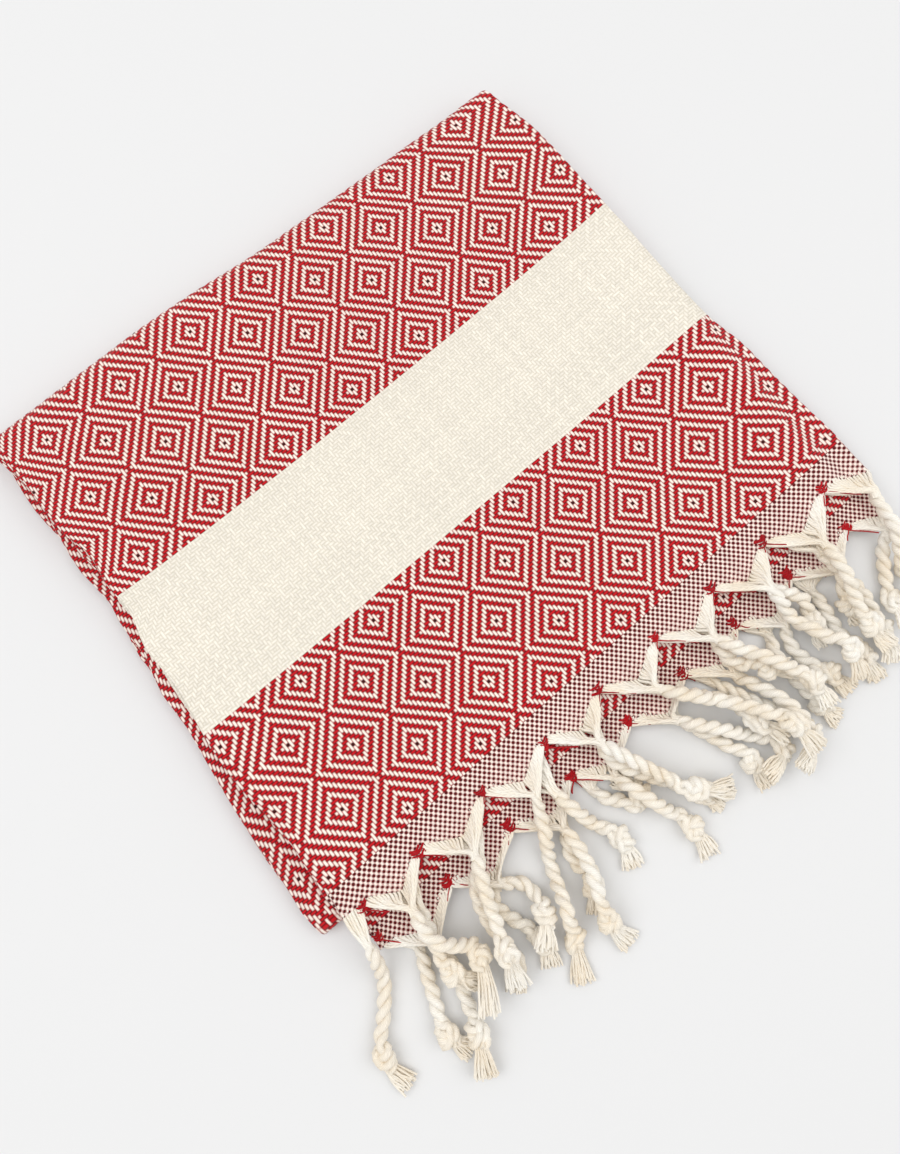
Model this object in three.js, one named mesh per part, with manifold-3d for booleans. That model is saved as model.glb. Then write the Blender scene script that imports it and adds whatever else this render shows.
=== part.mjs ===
// Folded cotton hand towel with a knotted fringe on both ends.
// Millimetres, +Z up. While it is laid out, x runs along the weft with the lengthwise fold at +x, y runs along the
// warp from the upper hem (y = 0) to the far fold, and the cloth rests on z = 0. At the end all of it is moved so
// that the origin is under the middle of its box.
import * as THREE from 'three';
import { mergeVertices } from 'three/addons/utils/BufferGeometryUtils.js';
import Module from 'manifold-3d';

const wasm = await Module();
wasm.setup();

// Sizes of the cloth. Two plies lie on each other in each layer, and four layers lie on each other.
const PLY = 1.2;
const PLY_GAP = 0.5;
const LAYER_GAP = 0.6;
const LAYER = 2 * PLY + PLY_GAP;
const PITCH = LAYER + LAYER_GAP;
const SIDE_RADIUS = (PLY + PLY_GAP) / 2;
const SIDE_TURN = Math.PI * SIDE_RADIUS;
const HALF_WIDTH = 254;
const FLAT_WIDTH = 2 * HALF_WIDTH + SIDE_TURN;
const FAR_TURN = 215.3;
const NEAR_TURN = 1.7;
const UNDER_HEM = 16.5;

// How far each layer reaches to the left and right at some places along the warp.
const EDGES = [
  { y: -17, topLeft: -131, topRight: 126, underLeft: -129, underRight: 126.5, midLeft: -141.2, midRight: 114 },
  { y: 0, topLeft: -131, topRight: 126, underLeft: -128.5, underRight: 125.7, midLeft: -141.2, midRight: 114 },
  { y: 20, topLeft: -129.5, topRight: 126, underLeft: -128, underRight: 125.5, midLeft: -141.2, midRight: 114.5 },
  { y: 45, topLeft: -129, topRight: 126, underLeft: -127.5, underRight: 125.5, midLeft: -139, midRight: 116 },
  { y: 80, topLeft: -129, topRight: 126.5, underLeft: -127, underRight: 125.5, midLeft: -134.6, midRight: 118.5 },
  { y: 112, topLeft: -125.5, topRight: 127, underLeft: -124, underRight: 126, midLeft: -131.4, midRight: 122 },
  { y: 143, topLeft: -122.5, topRight: 127.2, underLeft: -121.8, underRight: 126.5, midLeft: -128, midRight: 126 },
  { y: 190, topLeft: -124, topRight: 128, underLeft: -123, underRight: 127, midLeft: -128, midRight: 127 },
  { y: 215, topLeft: -125, topRight: 124.5, underLeft: -125, underRight: 124.5, midLeft: -125, midRight: 124.5 },
];
// The lengthwise fold of the top layer bulges to the right near the hem, and only the cloth near it moves along.
const FOLD_OUT = [
  { y: -17, out: 5.4 },
  { y: 0, out: 5.4 },
  { y: 15, out: 6 },
  { y: 30, out: 5.4 },
  { y: 48, out: 4.8 },
  { y: 66, out: 4.2 },
  { y: 82, out: 1.6 },
  { y: 98, out: 0.3 },
  { y: 112, out: 0 },
];
const OUT_FROM = 195;
// The far fold isn't square to the sides: how far it lies beyond FAR_TURN's mean.
const FAR_SKEW = [
  { x: -125, out: 6 },
  { x: -40, out: 5 },
  { x: 0, out: 0.5 },
  { x: 60, out: -2.5 },
  { x: 125, out: -4.5 },
];
const EDGE_PULL = 30;
const EVEN_PULL = 0.55;
const SAG = 4.8;
const SAG_RUN = 21;
const SAG_START = 4;
const OVERHANG_RUN = 12;
const SWELL = 0.05;
const WAVE_X = 41;
const WAVE_Y = 53;
const WAVE_BOTH = 29;

// Sizes of the fringe.
const TOOTH = 29.4;
const TEETH = 8;
const FIRST_NOTCH = { upper: 6, lower: 3 };
const SEAM = 0.3;
const STRIP = 2;
const WEB_PLY = 1.1;
const WEB_INSET = 0.03;
const WEB_BASE = 0.35;
const WEB_SHARES = [0, 0.25, 0.5, 0.75, 1];
const WEB_STEPS = [0, 0.4, 1];
const WEB_LAID = [0, 0.2, 0.4, 0.6, 0.8];
const WEB_WIDE = 3;
const WEB_HIGH = 0.75;
const WEB_FREE = 0.4;
const CORD = 2.7;
const KNOT_WIDE = 4.6;
const KNOT_HIGH = 3.7;
const KNOT_HALF = 4.5;
const TUFT_WIDE = 4.2;
const TUFT_HIGH = 1.7;
const ROOT = 1.1;
const ROOT_RUN = 7;
const FROM_HEM = 12;
const LAY = 18;
const CLEAR = 0.8;
const SLOPE = 0.8;
const CORD_THIN = 0.78;
const TUFT_CORNER = 1.3;
const STEPS = 21;

// Where the tassels lie. root is where a tassel's two bundles of warp meet, mid a point on its cord, knot the middle
// of its knot and tip the end of its tuft. tooth counts from the selvedge: 0 is the odd threads beside it and 9 the
// tooth that goes round the lengthwise fold.
const row = (side, tooth, root, mid, knot, tip) => ({ side, tooth, root, mid, knot, tip });
const LOWER_TASSELS = [
  row('under', 1, [-119, -27], [-124, -40], [-130, -56], [-127, -68]),
  row('under', 2, [-83, -29], [-88, -35], [-83, -54], [-87, -65]),
  row('under', 3, [-50, -29], [-55, -39], [-56, -52], [-62, -62]),
  row('under', 4, [-33, -27], [-30, -35], [-21, -40], [-24, -28]),
  row('under', 5, [9, -28], [15, -44], [19, -59], [18, -71]),
  row('under', 6, [29, -27], [35, -42], [41, -54], [45, -66]),
  row('under', 7, [58, -28], [54, -38], [54, -60], [56, -71]),
  row('under', 8, [83, -27], [79, -46], [80, -58], [78, -70]),
  row('over', 1, [-112, -29], [-114, -42], [-121, -62], [-129, -77]),
  row('over', 2, [-82, -28], [-75, -36], [-76, -47], [-85, -57]),
  row('over', 3, [-51, -29], [-52, -42], [-60, -64], [-59, -78]),
  row('over', 4, [-24, -28], [-20, -43], [-14, -61], [-16, -75]),
  row('over', 5, [7, -27], [19, -43], [32, -62], [17, -65]),
  row('over', 6, [36, -29], [42, -46], [42, -66], [29, -72]),
  row('over', 7, [64, -29], [61, -40], [65, -54], [67, -66]),
  row('over', 8, [95, -28], [97, -40], [92, -56], [86, -68]),
  row('over', 9, [120, -28], [112, -37], [103, -50], [99, -61]),
];
const UPPER_TASSELS = [
  row('under', 1, [-108, -14], [-112, -28], [-114, -40], [-108, -51]),
  row('under', 2, [-79, -14], [-91, -28], [-96, -53], [-103, -63]),
  row('under', 3, [-45, -16], [-42, -34], [-37, -47], [-41, -59]),
  row('under', 4, [-20, -14], [-20, -26], [-3, -54], [1, -65]),
  row('under', 5, [9, -14], [26, -34], [30, -48], [35, -60]),
  row('under', 6, [38, -14], [38, -25], [46, -36], [55, -43]),
  row('under', 7, [68, -14], [75, -26], [73, -36], [70, -46]),
  row('under', 8, [92, -15], [93, -27], [88, -40], [87, -48]),
  row('over', 0, [-130, -12], [-136, -28], [-152, -47], [-151, -62]),
  row('over', 1, [-110, -13], [-111, -26], [-103, -42], [-114, -60]),
  row('over', 2, [-81, -13], [-88, -30], [-94, -46], [-100, -61]),
  row('over', 3, [-51, -13], [-64, -39], [-74, -62], [-82, -77]),
  row('over', 4, [-21, -13], [-14, -32], [-5, -50], [8, -61]),
  row('over', 5, [8, -13], [27, -37], [37, -55], [38, -70]),
  row('over', 6, [37, -13], [46, -31], [55, -50], [54, -63]),
  row('over', 7, [66, -13], [67, -31], [74, -51], [71, -64]),
  row('over', 8, [94, -14], [90, -33], [86, -49], [88, -62]),
  row('over', 9, [125, -13], [119, -33], [112, -52], [108, -64]),
];

const cotton = new THREE.MeshStandardMaterial({ color: '#c4222b', roughness: 0.92, metalness: 0 });
const fringeCotton = new THREE.MeshStandardMaterial({ color: '#ece2ce', roughness: 0.95, metalness: 0 });

// A smooth curve through a table's rows, read at one value of its first column.
function read(table, at, column, value) {
  const last = table.length - 1;
  let i = 0;
  while (i < last - 1 && value > table[i + 1][at]) i += 1;
  const from = table[i];
  const to = table[i + 1];
  const span = to[at] - from[at];
  const t = THREE.MathUtils.clamp((value - from[at]) / span, 0, 1);
  const slope = (a, b) => ((b[column] - a[column]) / (b[at] - a[at])) * span;
  const start = i > 0 ? slope(table[i - 1], to) : slope(from, to);
  const end = i < last - 1 ? slope(from, table[i + 2]) : slope(from, to);
  const rise = to[column] - from[column];
  return from[column] + t * (start + t * (3 * rise - 2 * start - end + t * (start + end - 2 * rise)));
}

// The warp's way through the stack: straight courses and the turns between them. A positive turn is to the left of
// the way it goes.
const COURSES = [
  { run: SAG_START, steps: 1 },
  { run: FAR_TURN - SAG_START, steps: 8 },
  { turn: -Math.PI, radius: 1.5 * PITCH, steps: 8 },
  { run: FAR_TURN - NEAR_TURN, steps: 8 },
  { turn: -Math.PI, radius: PITCH / 2, steps: 6 },
  { run: FAR_TURN - NEAR_TURN, steps: 8 },
  { turn: Math.PI, radius: PITCH / 2, steps: 6 },
  { run: FAR_TURN - SAG_START, steps: 8 },
  { run: SAG_START + UNDER_HEM, steps: 5 },
];
const courseLength = (course) => course.run ?? Math.abs(course.turn) * course.radius;
const FLAT_LENGTH = COURSES.reduce((sum, course) => sum + courseLength(course), 0);
const TOP_END = FAR_TURN + (Math.PI * 1.5 * PITCH) / 2;
const UNDER_START = FLAT_LENGTH - FAR_TURN - UNDER_HEM - (Math.PI * PITCH) / 4;

// The point and heading at v millimetres of warp from the upper hem. Past a hem the way goes straight on.
function along(v) {
  let y = 0;
  let z = LAYER / 2 + 3 * PITCH;
  let heading = 0;
  let left = v;
  for (const [i, course] of COURSES.entries()) {
    const length = courseLength(course);
    const step = i === COURSES.length - 1 ? left : Math.min(left, length);
    if (course.run) {
      y += step * Math.cos(heading);
      z += step * Math.sin(heading);
    } else {
      const side = Math.sign(course.turn);
      const next = heading + (side * step) / course.radius;
      y += side * course.radius * (Math.sin(next) - Math.sin(heading));
      z -= side * course.radius * (Math.cos(next) - Math.cos(heading));
      heading = next;
    }
    left -= step;
    if (left <= 0) break;
  }
  return { y, z, ny: -Math.sin(heading), nz: Math.cos(heading) };
}

const smooth = (t) => {
  const c = THREE.MathUtils.clamp(t, 0, 1);
  return c * c * (3 - 2 * c);
};
const layerAt = (v) => (v < TOP_END ? 'top' : v < UNDER_START ? 'mid' : 'under');
const bulge = (layer, y) => (layer === 'top' ? read(FOLD_OUT, 'y', 'out', y) : 0);
const reach = (layer, y) => [
  read(EDGES, 'y', `${layer}Left`, y),
  read(EDGES, 'y', `${layer}Right`, y) + bulge(layer, y),
];

// The two upper layers sink where no layer lies below them: past the near fold, and past the middle layers' right
// edge.
function sag(x, y) {
  const beyondFold = smooth((SAG_START - y) / SAG_RUN);
  const beyondSide = smooth((x - reach('mid', y)[1]) / OVERHANG_RUN);
  return SAG * (1 - (1 - beyondFold) * (1 - beyondSide));
}

// Cloth never lies quite even. Heights grow or shrink by this share, so what is at z = 0 stays there.
function swell(x, y) {
  return 1 + SWELL * (Math.cos(x / WAVE_X) * Math.sin(y / WAVE_Y) + 0.5 * Math.sin((x + y) / WAVE_BOTH));
}

// A point of the cloth: s across the weft, v along the warp, off its middle towards the outside of the fold.
function onCloth(s, v, off) {
  const at = along(v);
  const layer = layerAt(v);
  const [left, right] = reach(layer, at.y);
  const turn = THREE.MathUtils.clamp((s - HALF_WIDTH) / SIDE_RADIUS, 0, Math.PI);
  const across = s < HALF_WIDTH ? s : Math.min(HALF_WIDTH, FLAT_WIDTH - s);
  const radius = SIDE_RADIUS + off;
  const out = bulge(layer, at.y);
  const fold = right - out - SIDE_RADIUS - PLY / 2;
  const pull = left - (fold - HALF_WIDTH);
  const near = Math.max(0, 1 - across / EDGE_PULL);
  const even = EVEN_PULL * (1 - across / HALF_WIDTH);
  const shift = pull * (even + (1 - EVEN_PULL) * near * near);
  const nearFold = Math.max(0, (across - OUT_FROM) / (HALF_WIDTH - OUT_FROM));
  const x = fold - (HALF_WIDTH - across) + shift + out * nearFold ** 2 + radius * Math.sin(turn);
  const d = radius * Math.cos(turn);
  const y = at.y + d * at.ny;
  const skewed = y + read(FAR_SKEW, 'x', 'out', x) * Math.max(0, y / FAR_TURN) ** 2;
  const height = (at.z + d * at.nz) * swell(x, y);
  return new THREE.Vector3(x, skewed, height - (layer === 'mid' ? 0 : sag(x, y)));
}

// Closed meshes are made of rings, each of the same number of points.
function skin(rings) {
  const count = rings[0].length;
  const points = rings.flat();
  const index = [];
  for (let j = 0; j < rings.length - 1; j += 1) {
    for (let i = 0; i < count; i += 1) {
      const a = j * count + i;
      const b = j * count + ((i + 1) % count);
      index.push(a, b, a + count, b, b + count, a + count);
    }
  }
  return { points, index, count };
}

// A ring that is one thin wall's outline: its first half is the wall's outer side and its second half the inner side
// read backwards. An end is closed by quads between the two.
function wallEnds(body, rings) {
  const { count, index } = body;
  const last = (rings.length - 1) * count;
  for (let i = 0; i < count / 2 - 1; i += 1) {
    const j = count - 1 - i;
    index.push(i, j, i + 1, i + 1, j, j - 1);
    index.push(last + i, last + i + 1, last + j, last + i + 1, last + j - 1, last + j);
  }
  return body;
}

// A small ring's end is closed by a fan.
function fanEnds(body, rings) {
  const { count, index } = body;
  const last = (rings.length - 1) * count;
  for (let i = 1; i < count - 1; i += 1) {
    index.push(0, i + 1, i);
    index.push(last, last + i, last + i + 1);
  }
  return body;
}

function geometryOf({ points, index }) {
  const geometry = new THREE.BufferGeometry();
  geometry.setAttribute('position', new THREE.Float32BufferAttribute(points.flatMap((p) => [p.x, p.y, p.z]), 3));
  geometry.setIndex(index);
  return geometry;
}

function solidOf(body) {
  const merged = mergeVertices(geometryOf(body), 1e-4);
  const mesh = new wasm.Mesh({
    numProp: 3,
    vertProperties: new Float32Array(merged.attributes.position.array),
    triVerts: new Uint32Array(merged.index.array),
  });
  const solid = new wasm.Manifold(mesh);
  return solid.volume() > 0 ? solid : turned(merged);
}

// The same closed mesh with its faces the other way round.
function turned(merged) {
  const triangles = new Uint32Array(merged.index.array);
  for (let i = 0; i < triangles.length; i += 3) {
    [triangles[i], triangles[i + 1]] = [triangles[i + 1], triangles[i]];
  }
  return new wasm.Manifold(new wasm.Mesh({
    numProp: 3,
    vertProperties: new Float32Array(merged.attributes.position.array),
    triVerts: triangles,
  }));
}

function geometryOfSolid(solid) {
  const mesh = solid.getMesh();
  const geometry = new THREE.BufferGeometry();
  geometry.setAttribute('position', new THREE.BufferAttribute(new Float32Array(mesh.vertProperties), 3));
  geometry.setIndex(new THREE.BufferAttribute(new Uint32Array(mesh.triVerts), 1));
  return geometry;
}

// Places across the weft where the cloth's mesh has points: closer beside the selvedges and round the fold.
const PLY_PLACES = [0, 12, 45, 100, 155, 205, 232, 244, HALF_WIDTH];
const FOLD_SHARES = [0.25, 0.5, 0.75];
const ACROSS = [
  ...PLY_PLACES,
  ...FOLD_SHARES.map((share) => HALF_WIDTH + share * SIDE_TURN),
  ...[...PLY_PLACES].reverse().map((s) => FLAT_WIDTH - s),
];

function stationsAlong() {
  const stations = [0];
  let start = 0;
  for (const course of COURSES) {
    for (let i = 1; i <= course.steps; i += 1) stations.push(start + (courseLength(course) * i) / course.steps);
    start += courseLength(course);
  }
  return stations;
}

function towelCloth() {
  const rings = stationsAlong().map((v) => [
    ...ACROSS.map((s) => onCloth(s, v, PLY / 2)),
    ...[...ACROSS].reverse().map((s) => onCloth(s, v, -PLY / 2)),
  ]);
  return solidOf(wallEnds(skin(rings), rings));
}

// A hem's warp position, with the fringe beyond it: outward is how far past the hem.
const beyondHem = (end, outward) => (end === 'upper' ? -outward : FLAT_LENGTH + outward);

// Notches lie a tooth apart from each selvedge. Between the last two is the tooth that goes round the fold.
function notches(end) {
  const first = Array.from({ length: TEETH + 1 }, (_, i) => FIRST_NOTCH[end] + i * TOOTH);
  return { first, second: first.map((s) => FLAT_WIDTH - s) };
}

// The cloth turns over between its ends: its first ply is the upper one at the upper end and the lower one at the
// lower end.
const plyOf = (end, side) => ((end === 'upper') === (side === 'over') ? 'first' : 'second');

function toothSpan(end, side, tooth) {
  const { first, second } = notches(end);
  if (tooth > TEETH) return [first[TEETH], second[TEETH]];
  const own = plyOf(end, side) === 'first' ? first : second;
  return [tooth > 0 ? own[tooth - 1] : 0, own[tooth]];
}

function hemStrip(end) {
  const { first, second } = notches(end);
  const places = [...ACROSS, ...first, ...second].sort((a, b) => a - b);
  const rings = [SEAM, SEAM + STRIP].map((outward) => {
    const v = beyondHem(end, outward);
    return [
      ...places.map((s) => onCloth(s, v, WEB_PLY / 2)),
      ...[...places].reverse().map((s) => onCloth(s, v, -WEB_PLY / 2)),
    ];
  });
  return solidOf(wallEnds(skin(rings), rings));
}

// Where a tooth's warp is gathered at its root: flat beside each other, or in a half ring from the tooth at the fold.
function gathered(end, tassel, share, outer) {
  if (tassel.tooth > TEETH) {
    const angle = Math.PI * share;
    const radius = outer ? ROOT : ROOT / 3;
    const up = end === 'upper' ? 1 : -1;
    return new THREE.Vector3(radius * Math.sin(angle), 0, up * radius * Math.cos(angle));
  }
  const up = outer === (tassel.side === 'over') ? 1 : -1;
  return new THREE.Vector3((2 * share - 1) * ROOT, 0, up * 0.8 * ROOT);
}

// The loose warp of one tooth, gathered from the strip to the root of its tassel.
function web(end, tassel, root) {
  const [from, to] = toothSpan(end, tassel.side, tassel.tooth);
  const v = beyondHem(end, SEAM + STRIP / 2);
  const rings = WEB_STEPS.map((t) => {
    const line = (outer) => WEB_SHARES.map((share) => {
      const s = THREE.MathUtils.lerp(from, to, WEB_INSET + (1 - 2 * WEB_INSET) * share);
      const base = onCloth(s, v, outer ? WEB_BASE : -WEB_BASE);
      return base.lerp(gathered(end, tassel, share, outer).add(root), t);
    });
    return [...line(true), ...line(false).reverse()];
  });
  return solidOf(wallEnds(skin(rings), rings));
}

// A tassel in plan: points on a smooth curve, each with its distance from the root and its half width and height.
function plan(tassel) {
  const start = [tassel.root[0], tassel.root[1] + FROM_HEM];
  const knots = [start, tassel.root, tassel.mid, tassel.knot, tassel.tip];
  const points = [];
  const end = tassel.tip.map((c, i) => 2 * c - tassel.knot[i]);
  const all = [...knots, end];
  for (let i = 0; i <= STEPS; i += 1) {
    const t = (i / STEPS) * 3;
    const k = Math.min(2, Math.floor(t));
    const f = t - k;
    const at = [0, 1].map((c) => {
      const [a, b, p, q] = [all[k][c], all[k + 1][c], all[k + 2][c], all[k + 3][c]];
      return 0.5 * (2 * b + f * (p - a + f * (2 * a - 5 * b + 4 * p - q + f * (3 * b - a - 3 * p + q))));
    });
    points.push({ x: at[0], y: at[1] });
  }
  let run = 0;
  points.forEach((p, i) => {
    if (i > 0) run += Math.hypot(p.x - points[i - 1].x, p.y - points[i - 1].y);
    p.run = run;
  });
  const knotRun = points[Math.round((STEPS * 2) / 3)].run;
  for (const p of points) {
    const body = ROOT + (CORD - ROOT) * smooth(p.run / ROOT_RUN);
    const beyond = smooth((p.run - knotRun) / KNOT_HALF);
    const lump = Math.max(0, 1 - ((p.run - knotRun) / KNOT_HALF) ** 2);
    p.wide = THREE.MathUtils.lerp(body, TUFT_WIDE, beyond) + lump * (KNOT_WIDE - CORD);
    p.high = THREE.MathUtils.lerp(body, TUFT_HIGH, beyond) + lump * (KNOT_HIGH - CORD);
  }
  return points;
}

// How high something of that half width and height must be to clear the lower hem and its strip.
function overLowerHem(p) {
  const hem = -UNDER_HEM - SEAM - STRIP - p.wide;
  const [left, right] = reach('under', p.y);
  if (p.y < hem || p.x < left - p.wide || p.x > right + p.wide) return 0;
  const y = Math.max(p.y, -UNDER_HEM - SEAM - STRIP);
  return (2.5 * PITCH + LAYER / 2 + PITCH / 2 - LAYER_GAP) * swell(p.x, y) - sag(p.x, y) + CLEAR + p.high;
}

// The least height of something over the table and over what was laid before it. Cords are rounded boxes to each
// other.
function restHeight(end, p, laid) {
  let z = Math.max(p.high, end === 'upper' ? overLowerHem(p) : 0);
  for (const q of laid) {
    const share = Math.hypot(p.x - q.x, p.y - q.y) / (p.wide + q.wide + CLEAR);
    if (share < 1) z = Math.max(z, q.z + (p.high + q.high + CLEAR) * Math.sqrt(1 - share ** 4));
  }
  return z;
}

// Points over a tooth's loose warp, between its hem and its root.
function webPoints(end, tassel, root) {
  const [from, to] = toothSpan(end, tassel.side, tassel.tooth);
  return [...WEB_LAID, 1].flatMap((share) => {
    const hem = onCloth(THREE.MathUtils.lerp(from, to, share), beyondHem(end, SEAM + STRIP), 0);
    return WEB_LAID.map((t) => ({ ...hem.clone().lerp(root, t), hem: hem.z, t, wide: WEB_WIDE, high: WEB_HIGH }));
  });
}

// Tassels are laid one after another, each as low as a cord that stiff can lie. It leaves the hem at the hem's own
// height.
function lay(end, tassels, laid) {
  return tassels.map((tassel) => {
    const points = plan(tassel);
    const [first] = points;
    const [from, to] = toothSpan(end, tassel.side, tassel.tooth);
    const hem = onCloth((from + to) / 2, beyondHem(end, SEAM + STRIP), 0);
    const hemAway = Math.hypot(hem.x - first.x, hem.y - first.y);
    const floor = points.map((p) => restHeight(end, p, laid));
    const others = laid.filter((q) => q.end !== end || q.side !== tassel.side);
    for (const p of webPoints(end, tassel, new THREE.Vector3(first.x, first.y, 0))) {
      const least = (restHeight(end, p, others) - (1 - p.t) * p.hem) / p.t;
      if (p.t >= WEB_FREE) floor[0] = Math.max(floor[0], least);
    }
    for (const p of points) {
      const fromHem = hem.z - SLOPE * (hemAway + p.run);
      p.z = Math.max(fromHem, ...points.map((q, j) => floor[j] - SLOPE * Math.abs(p.run - q.run)));
    }
    const loose = webPoints(end, tassel, new THREE.Vector3(first.x, first.y, first.z));
    laid.push(...[...loose, ...points].map((p) => ({ ...p, end, side: tassel.side })));
    return { ...tassel, points };
  });
}

// One cord with its knot and tuft, four-sided and turning as its two strands do.
function cord(points) {
  const knotAt = points[Math.round((STEPS * 2) / 3)].run;
  const turning = (run) => (2 * Math.PI * run) / LAY;
  const quarter = Math.PI / 2;
  const settled = quarter * (Math.round(turning(knotAt) / quarter - 0.5) + 0.5);
  const rings = points.map((p, i) => {
    const before = points[Math.max(0, i - 1)];
    const after = points[Math.min(points.length - 1, i + 1)];
    const ahead = new THREE.Vector3(after.x - before.x, after.y - before.y, after.z - before.z).normalize();
    const aside = new THREE.Vector3(-ahead.y, ahead.x, 0).normalize();
    const above = new THREE.Vector3().crossVectors(ahead, aside);
    const loose = p.run > knotAt;
    return [0, 1, 2, 3].map((corner) => {
      const angle = (loose ? settled : turning(p.run)) + corner * quarter;
      const thin = corner % 2 ? CORD_THIN : 1;
      const out = loose ? TUFT_CORNER : thin;
      const w = out * p.wide * Math.cos(angle);
      const h = out * p.high * Math.sin(angle);
      return new THREE.Vector3(p.x, p.y, p.z).addScaledVector(aside, w).addScaledVector(above, h);
    });
  });
  return solidOf(fanEnds(skin(rings), rings));
}

function fringe(end, tassels) {
  const solids = tassels.map((tassel) => {
    const { x, y, z } = tassel.points[1];
    return web(end, tassel, new THREE.Vector3(x, y, z)).add(cord(tassel.points));
  });
  return solids.reduce((whole, solid) => whole.add(solid), hemStrip(end));
}

const laid = [];
const lowerTassels = lay('lower', LOWER_TASSELS, laid);
const upperTassels = lay('upper', UPPER_TASSELS, laid);

const pieces = {
  towel_cloth: [towelCloth(), cotton],
  fringe_upper_end: [fringe('upper', upperTassels), fringeCotton],
  fringe_lower_end: [fringe('lower', lowerTassels), fringeCotton],
};

const towel = new THREE.Group();
for (const [name, [solid, material]] of Object.entries(pieces)) {
  const mesh = new THREE.Mesh(geometryOfSolid(solid), material);
  mesh.name = name;
  towel.add(mesh);
}

const box = new THREE.Box3().setFromObject(towel);
const middle = box.getCenter(new THREE.Vector3());
for (const mesh of towel.children) mesh.geometry.translate(-middle.x, -middle.y, -box.min.z);

export default towel;
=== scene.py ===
# %% [markdown]
# # A folded hand towel with a knotted fringe
#
# The object is one sheet of cotton, woven in a diamond twill of red weft over cream warp, with a plain cream band
# near each end. It is folded lengthwise once and crosswise twice, so it lies eight plies thick, and the loose
# warp of both ends is twisted into cords that are knotted near their tips.
#
# The sheet is one closed mesh, bent by the same rule as the solid of the folded towel but with a point on every
# thread where it shows. The cords, knots and loose threads follow paths, and Geometry Nodes spin yarn along them.

import bpy
import numpy as np
from mathutils import Matrix, Vector


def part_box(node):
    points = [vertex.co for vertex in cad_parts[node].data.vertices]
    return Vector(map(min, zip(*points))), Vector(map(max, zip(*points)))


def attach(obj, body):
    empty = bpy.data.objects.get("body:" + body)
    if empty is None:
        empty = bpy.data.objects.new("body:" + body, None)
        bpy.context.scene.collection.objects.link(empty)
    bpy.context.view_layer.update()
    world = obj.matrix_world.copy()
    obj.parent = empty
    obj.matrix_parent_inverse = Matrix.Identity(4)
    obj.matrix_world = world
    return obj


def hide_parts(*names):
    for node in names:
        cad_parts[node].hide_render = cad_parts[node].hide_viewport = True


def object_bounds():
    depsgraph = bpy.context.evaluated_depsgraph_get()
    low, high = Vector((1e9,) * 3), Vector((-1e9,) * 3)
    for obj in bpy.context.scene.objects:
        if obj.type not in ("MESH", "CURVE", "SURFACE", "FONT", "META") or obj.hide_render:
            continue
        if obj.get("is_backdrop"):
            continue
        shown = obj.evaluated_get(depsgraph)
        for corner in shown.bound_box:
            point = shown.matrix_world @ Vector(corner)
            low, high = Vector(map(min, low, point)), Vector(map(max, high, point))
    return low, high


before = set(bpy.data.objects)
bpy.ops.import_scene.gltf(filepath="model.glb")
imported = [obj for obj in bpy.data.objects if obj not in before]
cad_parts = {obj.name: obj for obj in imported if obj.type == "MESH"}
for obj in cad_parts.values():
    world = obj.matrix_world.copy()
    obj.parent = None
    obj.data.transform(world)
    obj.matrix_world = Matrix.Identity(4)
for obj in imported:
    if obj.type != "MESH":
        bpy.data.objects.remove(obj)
cad_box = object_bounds()
print("nodes:", sorted(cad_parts))

# %% [markdown]
# ## Where the towel was laid out
#
# All the towel's own measures are in millimetres, in a frame of its own: x runs along the weft towards the
# lengthwise fold, y runs along the warp from the upper hem to the far fold, and the cloth lies on z = 0. The left
# end of the middle layers and the start of the upper fringe say how far that frame is from the solids' one.

# %% The shift between the two frames
MIDDLE_LEFT = -141.2
SEAM = 0.3
MM = 0.001
shift = np.array([
    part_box("towel_cloth")[0].x / MM - MIDDLE_LEFT,
    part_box("fringe_upper_end")[1].y / MM + SEAM,
    0.0,
])
print("shift of the towel's own frame, in mm:", shift.round(2))


def placed(points):
    """Points of the towel's own frame in metres, in the frame of the solids."""
    return (np.asarray(points, float) + shift) * MM


# %% [markdown]
# ## The camera
#
# The picture looks down on the towel from not quite overhead, so the towel stands on one corner and its far
# corner is only a little smaller than the near one. The place and the directions come from fitting the grid of
# diamonds, whose spacing is known, to a pinhole camera. The picture is 900 by 1154 pixels and the focal length is
# 850 of them.

# %% Camera
PICTURE_LONG_SIDE = 1154
FOCAL_PIXELS = 850
SENSOR = 36
EYE = (-57.7, 29.2, 330.1)
AHEAD = Vector((0.1106, 0.12, -0.9866)).normalized()
UPWARD = Vector((0.643, 0.7483, 0.1631))

camera = bpy.data.objects.new("camera", bpy.data.cameras.new("camera"))
bpy.context.scene.collection.objects.link(camera)
camera.data.sensor_width = SENSOR
camera.data.lens = SENSOR * FOCAL_PIXELS / PICTURE_LONG_SIDE
camera.data.clip_start = 0.01
rightward = AHEAD.cross(UPWARD).normalized()
turn = Matrix((rightward, rightward.cross(AHEAD), -AHEAD)).transposed()
camera.matrix_world = Matrix.Translation(placed(EYE)) @ turn.to_4x4()
bpy.context.scene.camera = camera
print("lens:", round(camera.data.lens, 2), "mm")

# %% [markdown]
# ## How the sheet is folded
#
# Cloth bends but hardly stretches, so the whole sheet can be drawn from two numbers: s, how far along the weft a
# point is from one selvedge, and v, how far along the warp it is from one hem. Along v the sheet runs straight
# and turns in half circles; along s it lies double, with a tight turn at the lengthwise fold.

# %% Sizes of the folded sheet
PLY = 1.2
PLY_GAP = 0.5
LAYER_GAP = 0.6
LAYER = 2 * PLY + PLY_GAP
PITCH = LAYER + LAYER_GAP
SIDE_RADIUS = (PLY + PLY_GAP) / 2
HALF_WIDTH = 254
FLAT_WIDTH = 2 * HALF_WIDTH + np.pi * SIDE_RADIUS
FAR_TURN = 215.3
NEAR_TURN = 1.7
UNDER_HEM = 16.5

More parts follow.
